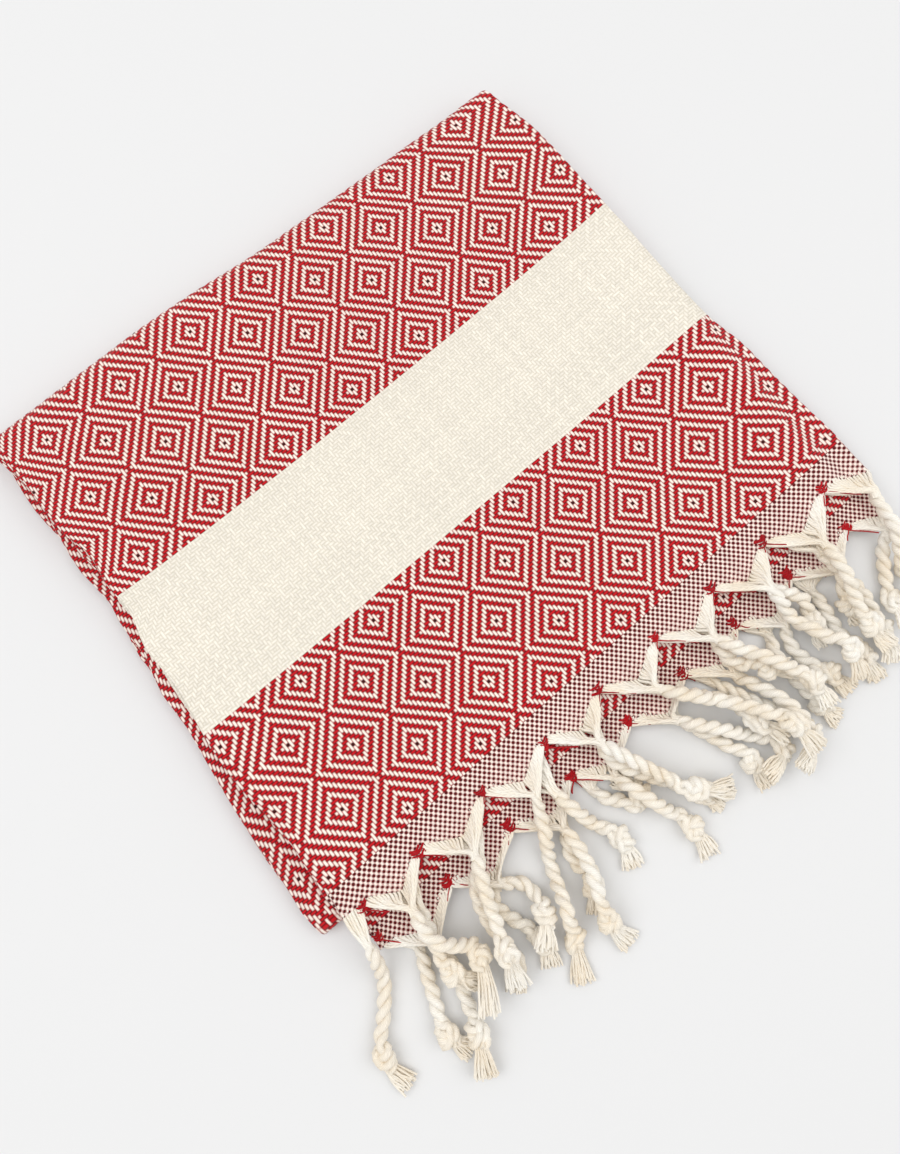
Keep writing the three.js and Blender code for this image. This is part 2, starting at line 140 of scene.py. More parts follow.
# Straight courses as (length, 0, 0) and turns as (0, signed angle, radius), from the upper hem to the lower one.
COURSES = (
    (FAR_TURN, 0, 0),
    (0, -np.pi, 1.5 * PITCH),
    (FAR_TURN - NEAR_TURN, 0, 0),
    (0, -np.pi, PITCH / 2),
    (FAR_TURN - NEAR_TURN, 0, 0),
    (0, np.pi, PITCH / 2),
    (FAR_TURN + UNDER_HEM, 0, 0),
)
FLAT_LENGTH = sum(run + abs(angle) * radius for run, angle, radius in COURSES)
TOP_END = FAR_TURN + 0.75 * np.pi * PITCH
UNDER_START = FLAT_LENGTH - FAR_TURN - UNDER_HEM - np.pi * PITCH / 4
print("flat sheet:", round(FLAT_WIDTH, 1), "by", round(FLAT_LENGTH, 1), "mm")

# %% [markdown]
# The edges aren't quite in line, so a table says how far each layer reaches to the left and to the right. Three
# smaller ones give what else is uneven: the top layer's lengthwise fold bulges to the right near the hem, the
# selvedges lie in a little towards the far fold, and the far fold runs askew. Each has a row wherever its edge
# changes its course.

# %% How the edges lie
# Along y, how far each layer reaches.
EDGE_COLUMNS = ("y", "top_left", "top_right", "under_left", "under_right", "mid_left", "mid_right")
EDGES = (
    (-17, -131, 126, -129, 126.5, -141.2, 114),
    (0, -131, 126, -128.5, 125.7, -141.2, 114),
    (20, -129.5, 126, -128, 125.5, -141.2, 114.5),
    (45, -129, 126, -127.5, 125.5, -139, 116),
    (80, -129, 126.5, -127, 125.5, -134.6, 118.5),
    (112, -125.5, 127, -124, 126, -131.4, 122),
    (143, -122.5, 127.2, -121.8, 126.5, -128, 126),
    (190, -124, 128, -123, 127, -128, 127),
    (215, -125, 124.5, -125, 124.5, -125, 124.5),
)
# Along y, how far the top layer's fold bulges out. Only the cloth from OUT_FROM to the fold moves along.
FOLD_OUT = (
    (-17, 5.4), (0, 5.4), (15, 6.0), (30, 5.4), (48, 4.8), (66, 4.2), (82, 1.6), (98, 0.3), (112, 0),
)
OUT_FROM = 195
# Along y, how far the selvedges lie in, and how much they waver besides.
SELVEDGE_IN = ((-17, 0), (85, 0), (115, 0.3), (150, 1.0), (190, 2.0), (215, 1.2))
SELVEDGE_WAVE = 0.8
SHORT_WAVE, LONG_WAVE, SLOW_WAVE = 6.3, 11, 23
LONG_SHARE = 0.6
# Along x, how far the far fold lies beyond its even line.
FAR_SKEW = ((-125, 4.4), (-40, 3.8), (0, 0.2), (60, -2.5), (125, -4.5))
# Where an edge is pulled in or out, the cloth gives way evenly by one share and near the edge by the rest.
EDGE_PULL = 30
EVEN_PULL = 0.55
print("the fold bulges by", max(row[1] for row in FOLD_OUT), "mm at most")

# %% [markdown]
# The two outer layers reach past the near fold and past the middle layers' right edge, where nothing holds them
# up, so they sink there. Away from the edges the stack is a little thicker in some places than in others.

# %% How the layers sag
SAG = 4.8
SAG_RUN = 21
SAG_START = 4
OVERHANG_RUN = 12
SWELL = 0.05
SWELL_X, SWELL_Y, SWELL_BOTH = 41, 53, 29
print("the outer layers sink by", SAG, "mm over", SAG_RUN, "mm of the near fold")


# %% The rule of the fold
def smooth(t):
    """An even step from 0 to 1."""
    t = np.clip(t, 0, 1)
    return t * t * (3 - 2 * t)


def read(table, column, at):
    """A smooth curve through a table's rows, read at values of its first column."""
    rows = np.array(table, float)
    places, values = rows[:, 0], rows[:, column]
    slopes = np.gradient(values, places)
    slopes[1:-1] = (values[2:] - values[:-2]) / (places[2:] - places[:-2])
    i = np.clip(np.searchsorted(places, at, side="left") - 1, 0, len(places) - 2)
    span = places[i + 1] - places[i]
    t = np.clip((at - places[i]) / span, 0, 1)
    start, end, rise = slopes[i] * span, slopes[i + 1] * span, values[i + 1] - values[i]
    return values[i] + t * (start + t * (3 * rise - 2 * start - end + t * (start + end - 2 * rise)))


def along(v):
    """The y, z and upward direction of the sheet's middle, v millimetres of warp from the upper hem."""
    left = np.array(v, float)
    y = np.zeros_like(left)
    z = np.full_like(left, LAYER / 2 + 3 * PITCH)
    heading = np.zeros_like(left)
    live = np.ones_like(left, bool)
    for i, (run, angle, radius) in enumerate(COURSES):
        length = run + abs(angle) * radius
        step = np.where(live, left if i == len(COURSES) - 1 else np.minimum(left, length), 0)
        if run:
            y += step * np.cos(heading)
            z += step * np.sin(heading)
        else:
            side = np.sign(angle)
            turned = heading + side * step / radius
            y += side * radius * (np.sin(turned) - np.sin(heading))
            z -= side * radius * (np.cos(turned) - np.cos(heading))
            heading = turned
        left = left - step
        live &= left > 0
    return y, z, -np.sin(heading), np.cos(heading)


def reach(layer, y):
    """How far a layer reaches to the left and to the right."""
    left, right = (read(EDGES, EDGE_COLUMNS.index(f"{layer}_{side}"), y) for side in ("left", "right"))
    return left, right + (read(FOLD_OUT, 1, y) if layer == "top" else 0)


def sag(x, y):
    """The two upper layers sink past the near fold and past the middle layers' right edge."""
    beyond_fold = smooth((SAG_START - y) / SAG_RUN)
    beyond_side = smooth((x - reach("mid", y)[1]) / OVERHANG_RUN)
    return SAG * (1 - (1 - beyond_fold) * (1 - beyond_side))


def swell(x, y):
    """Cloth never lies quite even: the share by which heights grow or shrink."""
    return 1 + SWELL * (np.cos(x / SWELL_X) * np.sin(y / SWELL_Y) + 0.5 * np.sin((x + y) / SWELL_BOTH))


def selvedge_wave(v, on_second):
    """How a selvedge wavers along the warp, differently on the two plies."""
    short = np.sin(v / SHORT_WAVE + 2 * np.sin(v / SLOW_WAVE) + 2.1 * on_second)
    return short + LONG_SHARE * np.sin(v / LONG_WAVE + 3 * on_second)


def on_cloth(s, v, off):
    """Points of the cloth, off millimetres from its middle towards the outside of the lengthwise fold."""
    s, v, off = (np.array(a, float) for a in np.broadcast_arrays(s, v, off))
    y, z, ny, nz = along(v)
    layers = ["mid", "top", "under"]
    which = np.where(v < TOP_END, 1, np.where(v < UNDER_START, 0, 2))
    left, right = (np.choose(which, pair) for pair in zip(*(reach(layer, y) for layer in layers)))
    turned = np.clip((s - HALF_WIDTH) / SIDE_RADIUS, 0, np.pi)
    across = np.where(s < HALF_WIDTH, s, np.minimum(HALF_WIDTH, FLAT_WIDTH - s))
    radius = SIDE_RADIUS + off
    out = np.where(which == 1, read(FOLD_OUT, 1, y), 0)
    fold = right - out - SIDE_RADIUS - PLY / 2
    pull = left - (fold - HALF_WIDTH)
    near = np.maximum(0, 1 - across / EDGE_PULL)
    moved = pull * (EVEN_PULL * (1 - across / HALF_WIDTH) + (1 - EVEN_PULL) * near**2)
    near_fold = np.maximum(0, (across - OUT_FROM) / (HALF_WIDTH - OUT_FROM))
    selvedge_in = read(SELVEDGE_IN, 1, y) + SELVEDGE_WAVE * selvedge_wave(v, s > HALF_WIDTH)
    moved += selvedge_in * near**2 + out * near_fold**2
    x = fold - (HALF_WIDTH - across) + moved + radius * np.sin(turned)
    d = radius * np.cos(turned)
    flat_y = y + d * ny
    skewed = flat_y + read(FAR_SKEW, 1, x) * np.maximum(0, flat_y / FAR_TURN) ** 2
    height = (z + d * nz) * swell(x, flat_y)
    return np.stack([x, skewed, height - np.where(which == 0, 0, sag(x, flat_y))], -1)


corners = on_cloth([0, 0, HALF_WIDTH], [0, FLAT_LENGTH, FAR_TURN], PLY / 2)
print("corners of the folded sheet, in mm:", corners.round(1).tolist())

# %% [markdown]
# ## Colours and one helper for nodes
#
# Cotton reflects evenly, so its colour is what matters most. Colours are picked as the sRGB hex values that a
# screen shows, and turned to the linear values that the renderer works with.

# %% Helpers for materials
def linear(code):
    """An sRGB hex colour such as '#c4121f' as linear RGBA."""
    parts = [int(code[i:i + 2], 16) / 255 for i in (1, 3, 5)]
    return [c / 12.92 if c <= 0.04045 else ((c + 0.055) / 1.055) ** 2.4 for c in parts] + [1.0]


def add(tree, kind, inputs=(), out=0, **settings):
    """Adds a node with its settings, links or sets its inputs, and gives back one output. None skips an input."""
    node = tree.nodes.new(kind)
    for name, value in settings.items():
        setattr(node, name, value)
    for key, value in inputs.items() if isinstance(inputs, dict) else enumerate(inputs):
        if isinstance(value, bpy.types.NodeSocket):
            tree.links.new(value, node.inputs[key])
        elif value is not None:
            node.inputs[key].default_value = value
    return node.outputs[out]


# A Mix node's inputs 0, 2 and 3 are the share and two numbers; 0, 6 and 7 are the share and two colours.
MATH = "ShaderNodeMath"
MIX = "ShaderNodeMix"


def new_material(name):
    """A material and its empty tree."""
    material = bpy.data.materials.new(name)
    material.use_nodes = True
    material.node_tree.nodes.clear()
    return material, material.node_tree


def finish_with(tree, surface):
    """Links a surface to the material's output."""
    tree.links.new(surface, tree.nodes.new("ShaderNodeOutputMaterial").inputs[0])


print("red as linear:", [round(c, 3) for c in linear("#c4121f")])

# %% [markdown]
# ## The cloth's finish: a diamond twill
#
# In a twill each weft thread passes over two warp threads and under two, a step further in every row. Where the
# step turns round, the ribs make nested diamonds. The chart needs no picture: count the ends from a diamond's
# middle column and the picks from its middle row, both to and fro, and the red weft is on top where their sum,
# divided by four, leaves 0 or 3. The UV map of the cloth counts threads, so a cell of the chart is one crossing
# of 1.16 by 1.26 mm.
#
# Within a cell, the thread on top is round across its own run and dips at both ends of its float. That height
# drives the bump and the painted shade in the furrows between threads. The header at each hem is plain weave,
# over one and under one, and the broad band has cream weft in place of red.

# %% Material of the cloth
END_SPACING = 17.4 / 15
PICK_SPACING = 15.07 / 12
FIRST_END = 4.95
FIRST_PICK = 13.6
BAND = (81.0, 140.7)
HEADER = 9.0
TURN_ENDS = 15
TURN_PICKS = 12
# A float passes over two threads and begins one and a half before a diamond's middle.
FLOAT = 2.0
REPEAT = 2 * FLOAT
FIRST_STEP = 1.5
# The bump's distance is in metres.
THREAD_RELIEF = 0.00028
ROUNDNESS = {"weft": 1.3, "warp": 0.8}

cloth_finish, t = new_material("diamond_twill_cotton")
uv = add(t, "ShaderNodeUVMap", uv_map="threads")
axes = t.nodes.new("ShaderNodeSeparateXYZ")
t.links.new(uv, axes.inputs[0])
U, V = axes.outputs[0], axes.outputs[1]
end = add(t, MATH, (U, 0.5), operation="ADD")
end = add(t, MATH, (end,), operation="FLOOR")
pick = add(t, MATH, (V, 0.5), operation="ADD")
pick = add(t, MATH, (pick,), operation="FLOOR")
in_end = add(t, MATH, (U, end), operation="SUBTRACT")
in_pick = add(t, MATH, (V, pick), operation="SUBTRACT")

# Steps from a diamond's middle, in whole threads and running on within a thread.
p, p_run = (add(t, MATH, (x, TURN_ENDS), operation="PINGPONG") for x in (end, U))
q, q_run = (add(t, MATH, (x, TURN_PICKS), operation="PINGPONG") for x in (pick, V))
step = add(t, MATH, (p, q), operation="ADD")
rows = {}
for name, (a, b, start) in {
    "chart": (p, q, FIRST_STEP),
    "weft": (p_run, q, FIRST_STEP),
    "warp": (p, q_run, FIRST_STEP + FLOAT),
}.items():
    count = add(t, MATH, (a, b), operation="ADD")
    count = add(t, MATH, (count, start), operation="ADD")
    rows[name] = add(t, MATH, (count, REPEAT), operation="MODULO")
twill_weft_up = add(t, MATH, (rows["chart"], FLOAT), operation="LESS_THAN")

# %% [markdown]
# The header is plain weave: the weft is on top where the two counts add up to an even number. An even thousand
# keeps the sum above 0, where the remainder is simple. The red dots get smaller towards the hem, where the warp
# is loose.

# %% The header's weave
EVEN_THOUSAND = 1000.0
HEM_DEPTH = -2.5
HEM_DOT_SQ, HEADER_DOT_SQ = 0.17, 0.25

both = add(t, MATH, (end, pick), operation="ADD")
both = add(t, MATH, (both, EVEN_THOUSAND), operation="ADD")
both = add(t, MATH, (both, 2.0), operation="MODULO")
plain_weft_up = add(t, MATH, (both, 0.5), operation="LESS_THAN")
across_sq = add(t, MATH, (in_end, 2.0), operation="POWER")
along_sq = add(t, MATH, (in_pick, 2.0), operation="POWER")
away_sq = add(t, MATH, (across_sq, along_sq), operation="ADD")
edge_pick, header_pick = ((depth - FIRST_PICK) / PICK_SPACING for depth in (HEM_DEPTH, HEADER))
dot_sq = add(t, "ShaderNodeMapRange", (V, edge_pick, header_pick, HEM_DOT_SQ, HEADER_DOT_SQ))
in_dot = add(t, MATH, (away_sq, dot_sq), operation="LESS_THAN")
plain_weft_up = add(t, MATH, (plain_weft_up, in_dot), operation="MULTIPLY")
in_header = add(t, MATH, (V, header_pick), operation="LESS_THAN")
weft_up = add(t, MIX, (in_header, None, twill_weft_up, plain_weft_up))
print("picks of the header:", round(header_pick - edge_pick, 1))

# %% [markdown]
# A thread's height is an arch across it times an arch along its float. The weft is beaten in and rounder than the
# warp. Every thread has a shade of its own, and the yarn is uneven along its length.

# %% Heights and shades of the threads
LOW_END = 0.35
OWN_SHADES = (0.93, 1.04)
UNEVEN_SHADES = (0.94, 1.05)

heights = []
for thread, across, within in (("weft", in_pick, in_end), ("warp", in_end, in_pick)):
    arch = add(t, MATH, (across, np.pi), operation="MULTIPLY")
    arch = add(t, MATH, (arch,), operation="COSINE")
    arch = add(t, MATH, (arch, ROUNDNESS[thread]), operation="POWER")
    float_arch = add(t, MATH, (rows[thread], np.pi / FLOAT), operation="MULTIPLY")
    float_arch = add(t, MATH, (float_arch,), operation="SINE")
    float_arch = add(t, MATH, (float_arch, 0.0), operation="MAXIMUM")
    plain_arch = add(t, MATH, (within, np.pi), operation="MULTIPLY")
    plain_arch = add(t, MATH, (plain_arch,), operation="COSINE")
    run_arch = add(t, MIX, (in_header, None, float_arch, plain_arch))
    run_arch = add(t, "ShaderNodeMapRange", (run_arch, 0.0, 0.8, LOW_END, 1.0))
    heights.append(add(t, MATH, (arch, run_arch), operation="MULTIPLY"))
height = add(t, MIX, (weft_up, None, heights[1], heights[0]))

own = []
for count in (end, pick):
    cell = add(t, "ShaderNodeTexWhiteNoise", {"W": count}, noise_dimensions="1D")
    own.append(add(t, "ShaderNodeMapRange", (cell, 0.0, 1.0, *OWN_SHADES)))
shade = add(t, MIX, (weft_up, None, own[0], own[1]))
uneven = add(t, "ShaderNodeTexNoise", {"Vector": uv, "Scale": 0.9, "Detail": 3.0})
uneven = add(t, "ShaderNodeMapRange", (uneven, 0.3, 0.7, *UNEVEN_SHADES))
shade = add(t, MATH, (shade, uneven), operation="MULTIPLY")
print("nodes so far:", len(t.nodes))

# %% [markdown]
# Deep in the furrows of the twill, light goes to and fro between red and cream threads, and that shade is
# painted into the colour: beside a red thread the furrows are painted dark red, beside a cream one pink. Those of
# the band are shallow and painted only a little darker. A small hole opens in the middle of a diamond, where
# floats end on all four sides, and its darkness is painted shade. The few weft threads that show in the header
# lie deep, and their shade is painted too.

# %% Colours of the threads and their furrows
DEEPEST, DEEPEST_IN_BAND = 0.05, 0.3
FURROW_TO = 0.85
HALF_STEPS = (TURN_ENDS + TURN_PICKS) / 2
HOLE_SHADE = 0.12
HEADER_WEFT_SHADE = 0.2

band_from, band_to = ((edge - FIRST_PICK) / PICK_SPACING for edge in BAND)
past_start = add(t, MATH, (pick, band_from), operation="GREATER_THAN")
before_end = add(t, MATH, (pick, band_to), operation="LESS_THAN")
in_band = add(t, MATH, (past_start, before_end), operation="MULTIPLY")

weft_colour = add(t, MIX, {0: in_band, 6: linear("#cb0f1b"), 7: linear("#f5eee1")}, out=2, data_type="RGBA")
# Painted reflection: outside the band the same cream warp is drawn pinker and a little brighter, for light thrown
# on it by the red weft.
warp_colour = add(t, MIX, {0: in_band, 6: linear("#fdf0e4"), 7: linear("#f5eee1")}, out=2, data_type="RGBA")
colour = add(t, MIX, {0: weft_up, 6: warp_colour, 7: weft_colour}, out=2, data_type="RGBA")
# Painted shade: the furrows between threads are drawn in darker colours, pink beside a cream warp and dark red
# beside a red weft.
painted_furrow_shade = add(t, MIX, {0: in_header, 6: linear("#b03230"), 7: linear("#c48480")}, out=2, data_type="RGBA")
painted_furrow_shade = add(t, MIX, {0: weft_up, 6: painted_furrow_shade, 7: linear("#42060b")}, out=2, data_type="RGBA")
painted_furrow_shade = add(t, MIX, {0: in_band, 6: painted_furrow_shade, 7: linear("#dcd3bf")}, out=2, data_type="RGBA")
lowest = add(t, MIX, (in_band, None, DEEPEST, DEEPEST_IN_BAND))
filled = add(t, "ShaderNodeMapRange", (height, 0.0, FURROW_TO, lowest, 1.0))
colour = add(t, MIX, {0: filled, 6: painted_furrow_shade, 7: colour}, out=2, data_type="RGBA")
# Painted shade: the small real hole in a diamond's middle is darkened to HOLE_SHADE.
from_middle = add(t, MATH, (step, HALF_STEPS), operation="SUBTRACT")
from_middle = add(t, MATH, (from_middle,), operation="ABSOLUTE")
hole = add(t, MATH, (from_middle, HALF_STEPS - 0.5), operation="GREATER_THAN")
plain = add(t, MATH, (in_band, in_header), operation="ADD")
in_twill = add(t, MATH, (1.0, plain), operation="SUBTRACT")
hole = add(t, MATH, (hole, in_twill), operation="MULTIPLY")
hole = add(t, MIX, (hole, None, 1.0, HOLE_SHADE))
# Painted shade: weft threads that lie deep in the header are darkened to HEADER_WEFT_SHADE.
in_shade = add(t, MATH, (in_header, weft_up), operation="MULTIPLY")
in_shade = add(t, MIX, (in_shade, None, 1.0, HEADER_WEFT_SHADE))
shade = add(t, MATH, (shade, hole), operation="MULTIPLY")
shade = add(t, MATH, (shade, in_shade), operation="MULTIPLY")
shaded = add(t, "ShaderNodeVectorMath", {0: colour, "Scale": shade}, operation="SCALE")

bump = add(t, "ShaderNodeBump", {"Strength": 0.9, "Distance": THREAD_RELIEF, "Height": height})
surface = add(t, "ShaderNodeBsdfPrincipled", {
    "Base Color": shaded, "Roughness": 0.88, "IOR": 1.5, "Normal": bump,
    "Sheen Weight": 0.12, "Sheen Roughness": 0.5, "Specular IOR Level": 0.25,
})
finish_with(t, surface)
print("nodes in the cloth's finish:", len(t.nodes))

# %% [markdown]
# ## The cloth as one closed mesh
#
# Where the cloth shows, the mesh has a point at every crossing of an end and a pick, raised a little where the
# red weft is on top. Inside the stack nothing shows, so there the columns and rows are 8 mm apart. Rows with
# different columns are joined by a zipper: it walks both rows at once and takes the next point of whichever is
# behind.

# %% Rows and columns
COARSE = 8.0
SHOWN_UNDER = 26.0
FOLD_SHARES = np.array([0.2, 0.4, 0.6, 0.8])
# The ends and picks that show, counted from the first diamond's middle.
SHOWN_ENDS = (-4, 214)
SHOWN_PICKS = (-10, 174)
ends = FIRST_END + END_SPACING * np.arange(*SHOWN_ENDS)
picks = FIRST_PICK + PICK_SPACING * np.arange(*SHOWN_PICKS)

fine = np.append(np.insert(ends, 0, 0.0), HALF_WIDTH)
coarse = np.linspace(0, HALF_WIDTH, int(HALF_WIDTH / COARSE) + 1)
over_fold = HALF_WIDTH + np.pi * SIDE_RADIUS * FOLD_SHARES


def columns(first, second):
    """Places across the weft on the first ply, round the fold and back on the second ply."""
    return np.concatenate([first, over_fold, FLAT_WIDTH - second[::-1]])


def middle_rows(start, stop):
    """Rows of the hidden courses: far apart on the straights, close in the turns."""
    rows, at = [], 0.0
    for run, angle, radius in COURSES:
        length = run + abs(angle) * radius
        count = int(np.ceil(length / (COARSE if run else 1.0)))
        rows.extend(at + length * np.arange(count) / count)
        at += length
    rows = np.array(rows + [FLAT_LENGTH / 2])
    return np.unique(rows[(rows > start) & (rows < stop)])


upper_rows = np.insert(picks, 0, 0.0)
lower_rows = FLAT_LENGTH - upper_rows[upper_rows < SHOWN_UNDER][::-1]
hidden_rows = middle_rows(upper_rows[-1] + 1, lower_rows[0] - 1)
outer_rows = [(v, columns(fine, coarse)) for v in upper_rows]
outer_rows += [(v, columns(coarse, coarse)) for v in hidden_rows]
outer_rows += [(v, columns(coarse, fine)) for v in lower_rows]
inner_rows = [(v, columns(coarse, coarse)) for v in [0.0, *middle_rows(1, FLAT_LENGTH - 1), FLAT_LENGTH]]
print("rows outside and inside:", len(outer_rows), len(inner_rows))

# %% [markdown]
# ## The hem
#
# The warp beyond a hem is divided into teeth of about 25 ends. Each tooth's warp is drawn together to a tassel's
# root, so the last picks slide outwards in the middle of a tooth and make a pointed tongue of plain weave. At the
# lower end the diamonds start a few threads further on both ways than a count from the upper hem would say.

# %% Teeth and tongues
TOOTH = 29.7
TEETH = 8
# Where the notches are across the weft, and how far beyond the hem the last picks bunch up there.
NOTCHES = {
    "upper": (
        (7.7, 2.5), (34.2, 1.5), (65, 0.4), (93.7, 2.8), (121.5, 0.3), (150.8, 0), (179.4, 0.3), (206.4, -0.4),
        (236.1, 0.2),
    ),
    "lower": (
        (1.5, -2), (33.4, 0), (63.2, -0.2), (92.8, 2), (122.4, 0.5), (150.5, 1), (178.5, -0.2), (207.5, -0.4),
        (238.4, 1.4),
    ),
}
TONGUE = 6.5
TONGUE_SLOPE = 9.0
LEAST_EDGE = {"upper": 0.5, "lower": 1.5}
FADE = 11.0


def notches(end):
    """Places of the notches across the weft, on the first ply and on the second."""
    first = np.array(NOTCHES[end])[:, 0]
    return first, FLAT_WIDTH - first


def edge_beyond(end, s):
    """How far the woven edge lies beyond the hem, millimetres."""
    first, second = notches(end)
    cuts = np.sort(np.concatenate([[0], first, second, [FLAT_WIDTH]]))
    i = np.clip(np.searchsorted(cuts, s, side="right") - 1, 0, len(cuts) - 2)
    width = cuts[i + 1] - cuts[i]
    share = np.abs(2 * (s - cuts[i]) / width - 1)
    depth = np.maximum(0, TONGUE - TONGUE_SLOPE * share)
    return LEAST_EDGE[end] + np.where(width > TOOTH / 2, depth, 0)


def with_tongues(s, v):
    """Warp places of a row's points once the tongues have slid outwards."""
    s = np.asarray(s, float)
    near_upper = np.clip(1 - v / FADE, 0, 1) * edge_beyond("upper", s)
    near_lower = np.clip(1 - (FLAT_LENGTH - v) / FADE, 0, 1) * edge_beyond("lower", s)
    return v - near_upper + near_lower


print("edge beyond the hem across one tooth:", edge_beyond("upper", np.linspace(6, 35, 6)).round(1))

# %% [markdown]
# ## Points of the sheet
#
# Threads aren't quite straight or even. Along the warp the ends drift along the weft, and the picks bow where
# they come near a selvedge or the lengthwise fold. All of it goes into the count of threads, so the diamonds
# follow by themselves.

# %% Counting the threads
# Rows: a place along the warp, how far the ends drift there, and how far the picks bow at BOW_AT from the middle.
DRIFT = (
    (0, 1.6, 0), (14, 1.0, 0), (30, 0.5, 0.1), (45, 0, 0.3), (75, -0.1, 0.9), (150, -2.9, 2.3), (165, -2.8, 2.3),
    (180, -2.4, 2.0), (195, -1.7, 1.4), (210, 0.3, 0.4), (225, 0.8, 0),
)
BOW_AT = 120
# From these places on, left and right of the cloth's middle, the ends spread. At the fold they spread less where
# it bulges, because the bulge has moved them already.
SPREAD_LEFT, SPREAD_RIGHT, SPREAD_RUN = 75, 68, 50
SPREAD_MOST, SPREAD_LEAST = 2.4, 1.2
BULGE_FULL = 5
# How much further the diamonds start at the lower end, along the warp and along the weft.
LOWER_PICKS_OUT = 2.9
LOWER_DRIFT = 10.2


def counts(s, v):
    """The two UV coordinates: ends and picks, counted from the middle of a diamond near each hem."""
    x = np.minimum(s, FLAT_WIDTH - s) - HALF_WIDTH / 2
    y = np.minimum(v, DRIFT[-1][0])
    known = 1 - smooth((v - DRIFT[-1][0]) / FLAT_WIDTH)
    past_left = np.maximum(0, -x - SPREAD_LEFT) / SPREAD_RUN
    past_right = np.maximum(0, x - SPREAD_RIGHT) / SPREAD_RUN
    bulge = np.where(v < TOP_END, read(FOLD_OUT, 1, y), 0)
    spread_right = SPREAD_LEAST + SPREAD_MOST * np.maximum(0, 1 - bulge / BULGE_FULL)
    across = read(DRIFT, 1, y) + spread_right * past_right**2 - SPREAD_MOST * past_left**2
    far_on = smooth((v - 2 * FAR_TURN) / FAR_TURN)
    bow = read(DRIFT, 2, y) * (np.abs(x) / BOW_AT) ** 3
    beyond = bow - read(FAR_SKEW, 1, x) * (y / FAR_TURN) ** 2
    from_hem = np.minimum(v - beyond * known, FLAT_LENGTH - v + LOWER_PICKS_OUT)
    from_selvedge = s - across * known - LOWER_DRIFT * far_on
    return (from_selvedge - FIRST_END) / END_SPACING, (from_hem - FIRST_PICK) / PICK_SPACING


print("ends and picks at the cloth's middle:", [round(float(c), 1) for c in counts(HALF_WIDTH / 2, FAR_TURN / 2)])

# %% [markdown]
# The relief is small: less than a tenth of a millimetre for the ribs of the twill and less than two tenths for
# the slow ripple that handwoven cotton keeps after folding. The hem's and the selvedges' edges are rounded by one
# row of points on the cloth's middle, a little further out.

# %% The cloth's points
RIB = 0.09
RIPPLE = 0.16
# Each of the ripple's two waves: its length over 2 pi, and how far and how slowly its crests wander.
RIPPLE_ACROSS = (7.3, 1.7, 31)
RIPPLE_ALONG = (9.1, 1.3, 23)
ROUND = 0.45
OFF = PLY / 2
ALMOST = 1e-6


def to_and_fro(x, turn):
    """Counts up to turn and back."""
    return turn - np.abs(np.mod(x, 2 * turn) - turn)


def wave(at, other, length, swing, slow):
    """A wave along one way, whose crests wander along the other."""
    return np.sin(at / length + swing * np.sin(other / slow))


def relief(s, v):
    """Height of the ribs and of the ripple, in millimetres."""
    u, w = (np.rint(c) for c in counts(s, v))
    steps = to_and_fro(u, TURN_ENDS) + to_and_fro(w, TURN_PICKS)
    weft_on_top = np.mod(steps + FIRST_STEP, REPEAT) < FLOAT
    from_hem = np.minimum(v, FLAT_LENGTH - v)
    in_twill = (from_hem > HEADER) & ((from_hem < BAND[0]) | (from_hem > BAND[1]))
    ripple = wave(s, v, *RIPPLE_ACROSS) * wave(v, s, *RIPPLE_ALONG)
    return np.where(in_twill, np.where(weft_on_top, RIB, -RIB), 0) + RIPPLE * ripple


points, thread_counts = [], []


def keep(s, v, off):
    """Adds a row of points and gives back their numbers."""
    s = np.asarray(s, float)
    first = sum(len(p) for p in points)
    warp_place = with_tongues(s, v) if np.ndim(v) == 0 else np.asarray(v, float)
    points.append(on_cloth(s, warp_place, off))
    thread_counts.append(np.stack(counts(s, warp_place), -1))
    return first + np.arange(len(s))


def zipper(a, b, at_a, at_b):
    """Faces between two rows of points, from their places along the rows."""
    faces, i, j = [], 0, 0
    while i < len(a) - 1 or j < len(b) - 1:
        step_a = i < len(a) - 1 and (j == len(b) - 1 or at_a[i + 1] <= at_b[j + 1] + ALMOST)
        step_b = j < len(b) - 1 and (i == len(a) - 1 or at_b[j + 1] <= at_a[i + 1] + ALMOST)
        corners = [a[i], *([a[i + 1]] if step_a else []), *([b[j + 1]] if step_b else []), b[j]]
        faces.append(tuple(int(k) for k in corners))
        i += step_a
        j += step_b
    return faces


def grid(rows, outward):
    """Points and faces of one side of the sheet. Its rim comes back as the four chains of its outline."""
    off = OFF * outward
    numbers = [keep(s, v, off + (relief(s, v) if outward > 0 else 0)) for v, s in rows]
    places = [s for _, s in rows]
    faces = []
    for k in range(len(rows) - 1):
        faces += zipper(numbers[k], numbers[k + 1], places[k], places[k + 1])
    if outward < 0:
        faces = [face[::-1] for face in faces]
    ways = np.array([v for v, _ in rows])
    rim = {
        "hem": (numbers[0], places[0]),
        "far": (numbers[-1], places[-1]),
        "start": (np.array([n[0] for n in numbers]), ways),
        "finish": (np.array([n[-1] for n in numbers]), ways),
    }
    return faces, rim


outer_faces, outer_rim = grid(outer_rows, 1)
inner_faces, inner_rim = grid(inner_rows, -1)
print("faces outside and inside:", len(outer_faces), len(inner_faces))

